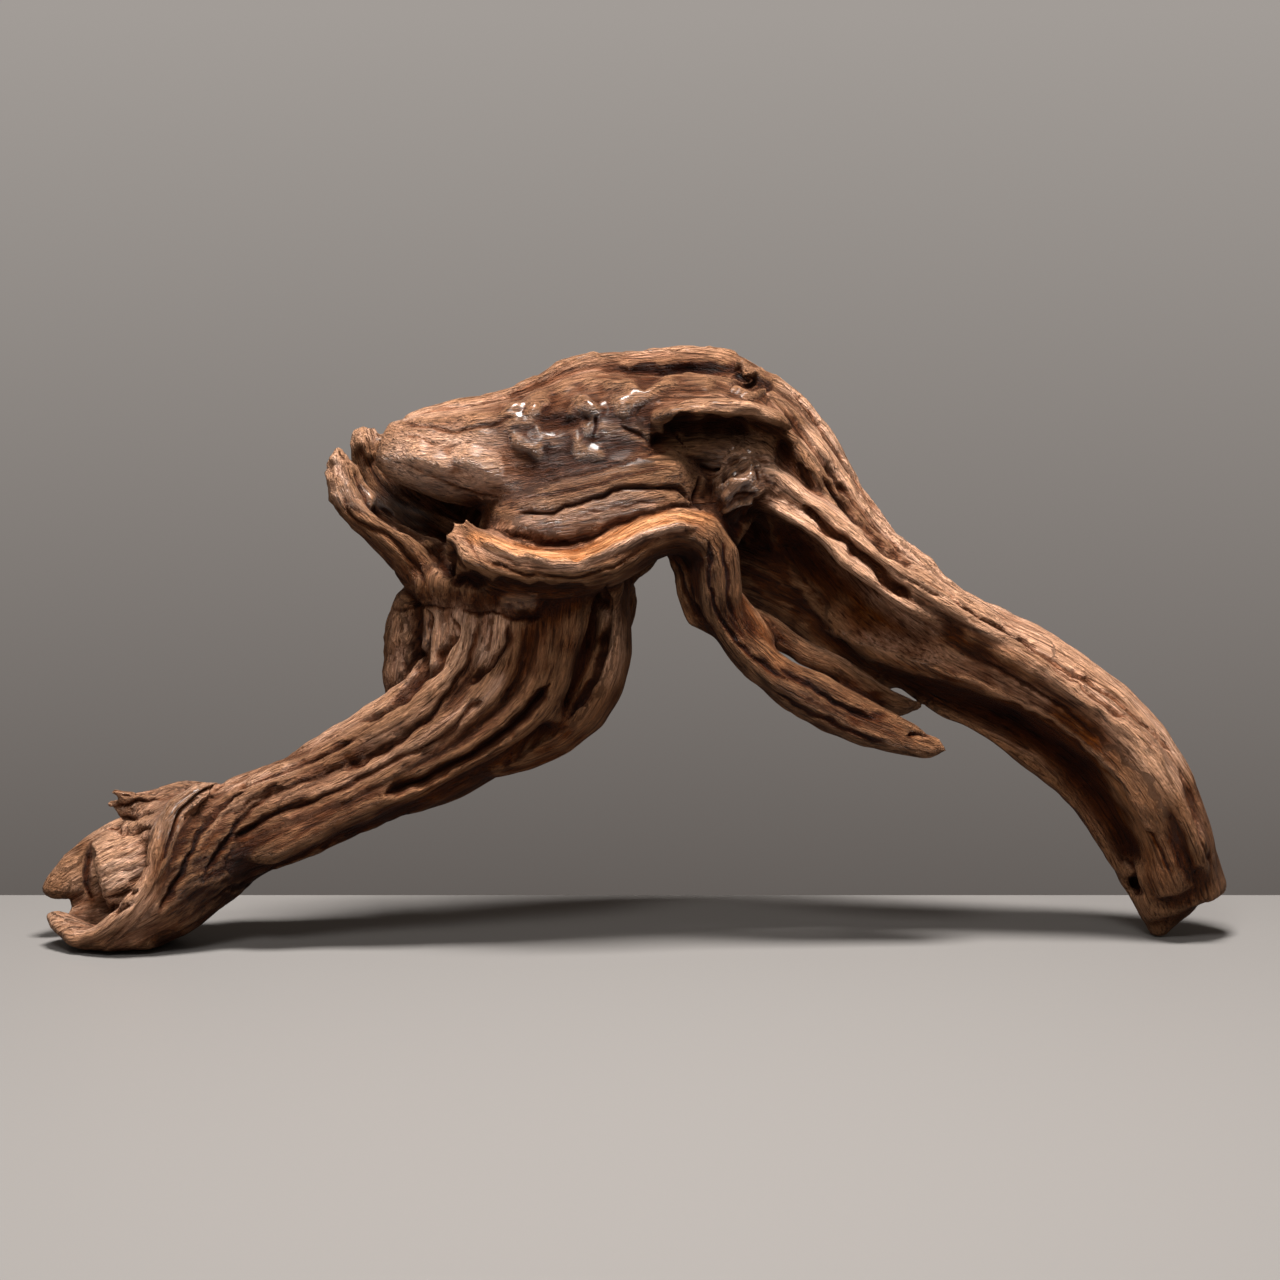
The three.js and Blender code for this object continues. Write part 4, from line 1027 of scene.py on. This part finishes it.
def reckon(kind, *values, clamp=False):
    """One step of arithmetic."""
    node = nodes.new("ShaderNodeMath")
    node.operation = kind
    node.use_clamp = clamp
    for socket, value in zip(node.inputs, values):
        set_input(socket, value)
    return node.outputs[0]


def weighed(*parts):
    """The sum of (value, weight) pairs."""
    total = reckon("MULTIPLY", *parts[0])
    for part in parts[1:]:
        total = reckon("ADD", total, reckon("MULTIPLY", *part))
    return total


# The sockets of a Mix node that blends colours: the share, the two colours and the result.
MIX_SHARE, MIX_FIRST, MIX_SECOND, MIX_OUT = 0, 6, 7, 2


def blend_colours(share, first, second, kind="MIX"):
    """Two colours blended by the share of the second one."""
    node = nodes.new("ShaderNodeMix")
    node.data_type = "RGBA"
    node.blend_type = kind
    set_input(node.inputs[MIX_SHARE], share)
    set_input(node.inputs[MIX_FIRST], first)
    set_input(node.inputs[MIX_SECOND], second)
    return node.outputs[MIX_OUT]


def stepped(value, stops):
    """A value turned into a colour by these (place, colour) stops."""
    node = nodes.new("ShaderNodeValToRGB")
    ramp = node.color_ramp
    while len(ramp.elements) < len(stops):
        ramp.elements.new(0.5)
    for element, (position, colour) in zip(ramp.elements, stops):
        element.position = position
        element.color = (*colour, 1)
    join(value, node.inputs[0])
    return node.outputs[0]


def grain_noise(along, across, detail=4, roughness=0.6, warp=0.0):
    """Noise drawn out along the fibres, with sizes in millimetres."""
    run = nodes.new("ShaderNodeMapping")
    run.inputs["Scale"].default_value = (1000 / along, 1000 / across, 1000 / across)
    join(value_of("grain_run", "Vector"), run.inputs["Vector"])
    noise = nodes.new("ShaderNodeTexNoise")
    noise.inputs["Scale"].default_value = 1
    noise.inputs["Detail"].default_value = detail
    noise.inputs["Roughness"].default_value = roughness
    noise.inputs["Distortion"].default_value = warp
    join(run.outputs[0], noise.inputs["Vector"])
    return noise.outputs["Fac"]


def plain_noise(size, detail):
    """Noise that is alike in all directions, with its size in millimetres."""
    place_node = nodes.new("ShaderNodeTexCoord")
    noise = nodes.new("ShaderNodeTexNoise")
    noise.inputs["Scale"].default_value = 1000 / size
    noise.inputs["Detail"].default_value = detail
    join(place_node.outputs["Object"], noise.inputs["Vector"])
    return noise.outputs["Fac"]


fibre_fine = grain_noise(14, 0.8, detail=4, roughness=0.65)
fibre_wide = grain_noise(45, 3.4, detail=5, roughness=0.6, warp=0.3)
streak = grain_noise(110, 9, detail=4, roughness=0.55)
cracklets = grain_noise(22, 1.3, detail=2, roughness=0.4)
woolly_fibre = grain_noise(7, 1.7, detail=4, roughness=0.65, warp=1.4)
patch = plain_noise(55, 4)
hollow_shade_value = value_of("painted_hollow_shade")
polish_value = value_of("polish")
bleach_light_value = value_of("bleach_and_painted_light")
red_value = value_of("red_brown")
stain_shade_value = value_of("stain_and_shade")

body = weighed((fibre_wide, 0.5), (streak, 0.5))
body = weighed((body, 0.75), (fibre_fine, 0.25))


def toned(*colours):
    """The wood's body from its darkest fibres through its middle ones to its palest."""
    return stepped(body, list(zip((0.28, 0.50, 0.72), colours)))


grey_wood = toned((0.042, 0.017, 0.008), (0.098, 0.043, 0.022), (0.213, 0.110, 0.070))
red_wood = toned((0.044, 0.0125, 0.004), (0.098, 0.030, 0.010), (0.205, 0.072, 0.027))
bleached_and_lit_wood = toned((0.360, 0.195, 0.125), (0.640, 0.400, 0.285), (0.880, 0.650, 0.535))
patchy_red = reckon("MULTIPLY_ADD", reckon("SUBTRACT", patch, 0.5), 1.2, 0.25)
red_share = reckon("ADD", red_value, patchy_red, clamp=True)
bleach_light_share = reckon("MULTIPLY", bleach_light_value, reckon("MULTIPLY_ADD", fibre_wide, 1.6, 0.1), clamp=True)
colour = blend_colours(red_share, grey_wood, red_wood)
orange_wood = blend_colours(1.0, bleached_and_lit_wood, (1.0, 0.78, 0.56, 1), "MULTIPLY")
orange_share = reckon("MULTIPLY_ADD", red_value, 5.0, -4.2, clamp=True)
bleached_and_lit_wood = blend_colours(orange_share, bleached_and_lit_wood, orange_wood)
# bleached wood and painted light: the pale wood covers the bleached places and the places painted as lit
colour = blend_colours(bleach_light_share, colour, bleached_and_lit_wood)
# stains and painted shade darken the colour
colour = blend_colours(stain_shade_value, colour, (0.30, 0.20, 0.14, 1), "MULTIPLY")
# painted shade: the colour is darkened where the hollow-shade value is high, in furrows, cracks and on
# faces that turn down
painted_furrow_shade = stepped(
    hollow_shade_value, [(0.46, (1, 1, 1)), (0.62, (0.62, 0.54, 0.50)), (0.95, (0.27, 0.17, 0.13))]
)
colour = blend_colours(1.0, colour, painted_furrow_shade, "MULTIPLY")
# the tops of the ridges are made lighter, partly as real wear and partly as painted light
ridge_wear_and_light = stepped(hollow_shade_value, [(0.24, (1, 1, 1)), (0.47, (0, 0, 0))])
colour = blend_colours(reckon("MULTIPLY", ridge_wear_and_light, 0.30), colour, (0.46, 0.27, 0.165, 1))
dark_lines = stepped(cracklets, [(0.34, (0.20, 0.14, 0.11)), (0.44, (1, 1, 1))])
colour = blend_colours(0.75, colour, dark_lines, "MULTIPLY")
# the fibres make the whole colour lighter and darker
lifted = nodes.new("ShaderNodeVectorMath")
lifted.operation = "SCALE"
tone = weighed((woolly_fibre, 2.3), (fibre_fine, 1.9))
join(colour, lifted.inputs[0])
join(reckon("MAXIMUM", reckon("SUBTRACT", tone, 1.02), 0.25), lifted.inputs["Scale"])
rich = nodes.new("ShaderNodeHueSaturation")
rich.inputs["Saturation"].default_value = 1.14
join(lifted.outputs[0], rich.inputs["Color"])
join(rich.outputs[0], shader.inputs["Base Color"])

# only what stands proud is rubbed to a shine
proud = reckon("MULTIPLY_ADD", reckon("SUBTRACT", 0.62, hollow_shade_value), 3.0, 0.2, clamp=True)
shine = reckon("MULTIPLY", polish_value, proud, clamp=True)
dull = reckon("ADD", 0.62, reckon("MULTIPLY", reckon("SUBTRACT", fibre_fine, 0.5), 0.35))
rough_value = reckon("SUBTRACT", dull, reckon("MULTIPLY", shine, 0.34), clamp=True)
join(rough_value, shader.inputs["Roughness"])
join(reckon("MULTIPLY", shine, 0.8), shader.inputs["Coat Weight"])
shader.inputs["Coat Roughness"].default_value = 0.22
join(reckon("MULTIPLY_ADD", shine, 0.5, 0.14), shader.inputs["Specular IOR Level"])

shallow_cracks = reckon("MINIMUM", cracklets, 0.42)
relief = weighed((fibre_fine, 0.5), (fibre_wide, 0.9), (shallow_cracks, 1.6), (woolly_fibre, 1.2))
bump = nodes.new("ShaderNodeBump")
bump.inputs["Strength"].default_value = 1.0
bump.inputs["Distance"].default_value = 0.0036
join(relief, bump.inputs["Height"])
join(bump.outputs["Normal"], shader.inputs["Normal"])

wood.data.materials.clear()
wood.data.materials.append(finish)
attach(wood, "root")
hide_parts("driftwood")

# ------------------------------------------------------------
# The place it is shown in: a plain pale floor that ends close behind it against a plain grey
# room, a soft lamp overhead, a weak one in front, and the camera.
# ------------------------------------------------------------

FLOOR_SIZE = 8
FLOOR_END = 0.118
bpy.ops.object.select_all(action="DESELECT")
bpy.ops.mesh.primitive_plane_add(size=FLOOR_SIZE, location=(0, FLOOR_END - FLOOR_SIZE / 2, -0.0002))
floor = bpy.context.active_object
floor.name = "floor"
bpy.ops.object.transform_apply(location=True, rotation=True, scale=True)
paint = bpy.data.materials.new("floor_paint")
paint.use_nodes = True
coat = paint.node_tree.nodes["Principled BSDF"]
coat.inputs["Base Color"].default_value = (0.182, 0.176, 0.171, 1)
coat.inputs["Roughness"].default_value = 0.5
floor.data.materials.append(paint)
floor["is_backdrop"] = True


def lamp(name, where, aim, size, watts, colour):
    """A soft rectangular lamp that points at its aim."""
    bpy.ops.object.light_add(type="AREA", location=where)
    light = bpy.context.active_object
    light.name = name
    light.data.shape = "RECTANGLE"
    light.data.size, light.data.size_y = size
    light.data.energy = watts
    light.data.color = colour
    light.rotation_mode = "QUATERNION"
    light.rotation_quaternion = (Vector(aim) - Vector(where)).to_track_quat("-Z", "Y")


lamp("overhead", (0.05, -0.34, 1.5), (0, 0.0, 0.1), (0.45, 0.3), 62, (1.0, 0.95, 0.91))
lamp("front_overhead", (-0.25, -1.3, 1.5), (0, -0.1, 0.1), (0.5, 0.4), 16, (1.0, 0.96, 0.92))
lamp("front_fill", (-0.4, -2.2, 0.7), (0, 0, 0.15), (1.6, 1.2), 2.2, (1.0, 0.97, 0.94))

# The room is a pale wall that darkens towards the floor; the wood itself gets a dim, warm light.
world = bpy.data.worlds.new("room")
bpy.context.scene.world = world
world.use_nodes = True
room = world.node_tree.nodes
height = room.new("ShaderNodeSeparateXYZ")
level = room.new("ShaderNodeMapRange")
level.inputs["From Min"].default_value = -0.20
level.inputs["From Max"].default_value = 0.05
wall = room.new("ShaderNodeValToRGB")
wall.color_ramp.elements[0].color = (0.118, 0.104, 0.095, 1)
wall.color_ramp.elements[1].color = (0.362, 0.333, 0.310, 1)
seen = room.new("ShaderNodeLightPath")
either = room.new("ShaderNodeMix")
either.data_type = "RGBA"
either.inputs[MIX_FIRST].default_value = (0.092, 0.075, 0.064, 1)
link = world.node_tree.links.new
link(room.new("ShaderNodeTexCoord").outputs["Generated"], height.inputs[0])
link(height.outputs["Z"], level.inputs["Value"])
link(level.outputs[0], wall.inputs[0])
link(seen.outputs["Is Camera Ray"], either.inputs[MIX_SHARE])
link(wall.outputs[0], either.inputs[MIX_SECOND])
link(either.outputs[MIX_OUT], room["Background"].inputs["Color"])
bpy.context.scene.view_settings.view_transform = "Standard"

bpy.ops.object.camera_add(location=placed(EYE))
camera = bpy.context.active_object
camera.rotation_mode = "QUATERNION"
camera.rotation_quaternion = Vector(FORWARD).to_track_quat("-Z", "Y")
camera.data.sensor_width = 36
camera.data.lens = 101.25
camera.data.clip_start = 0.05
camera.data.clip_end = 30
bpy.context.scene.camera = camera

bpy.context.view_layer.update()
sizes = {"cad": cad_box, "visual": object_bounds()}
sizes = {name: [[float(n) for n in corner] for corner in box] for name, box in sizes.items()}
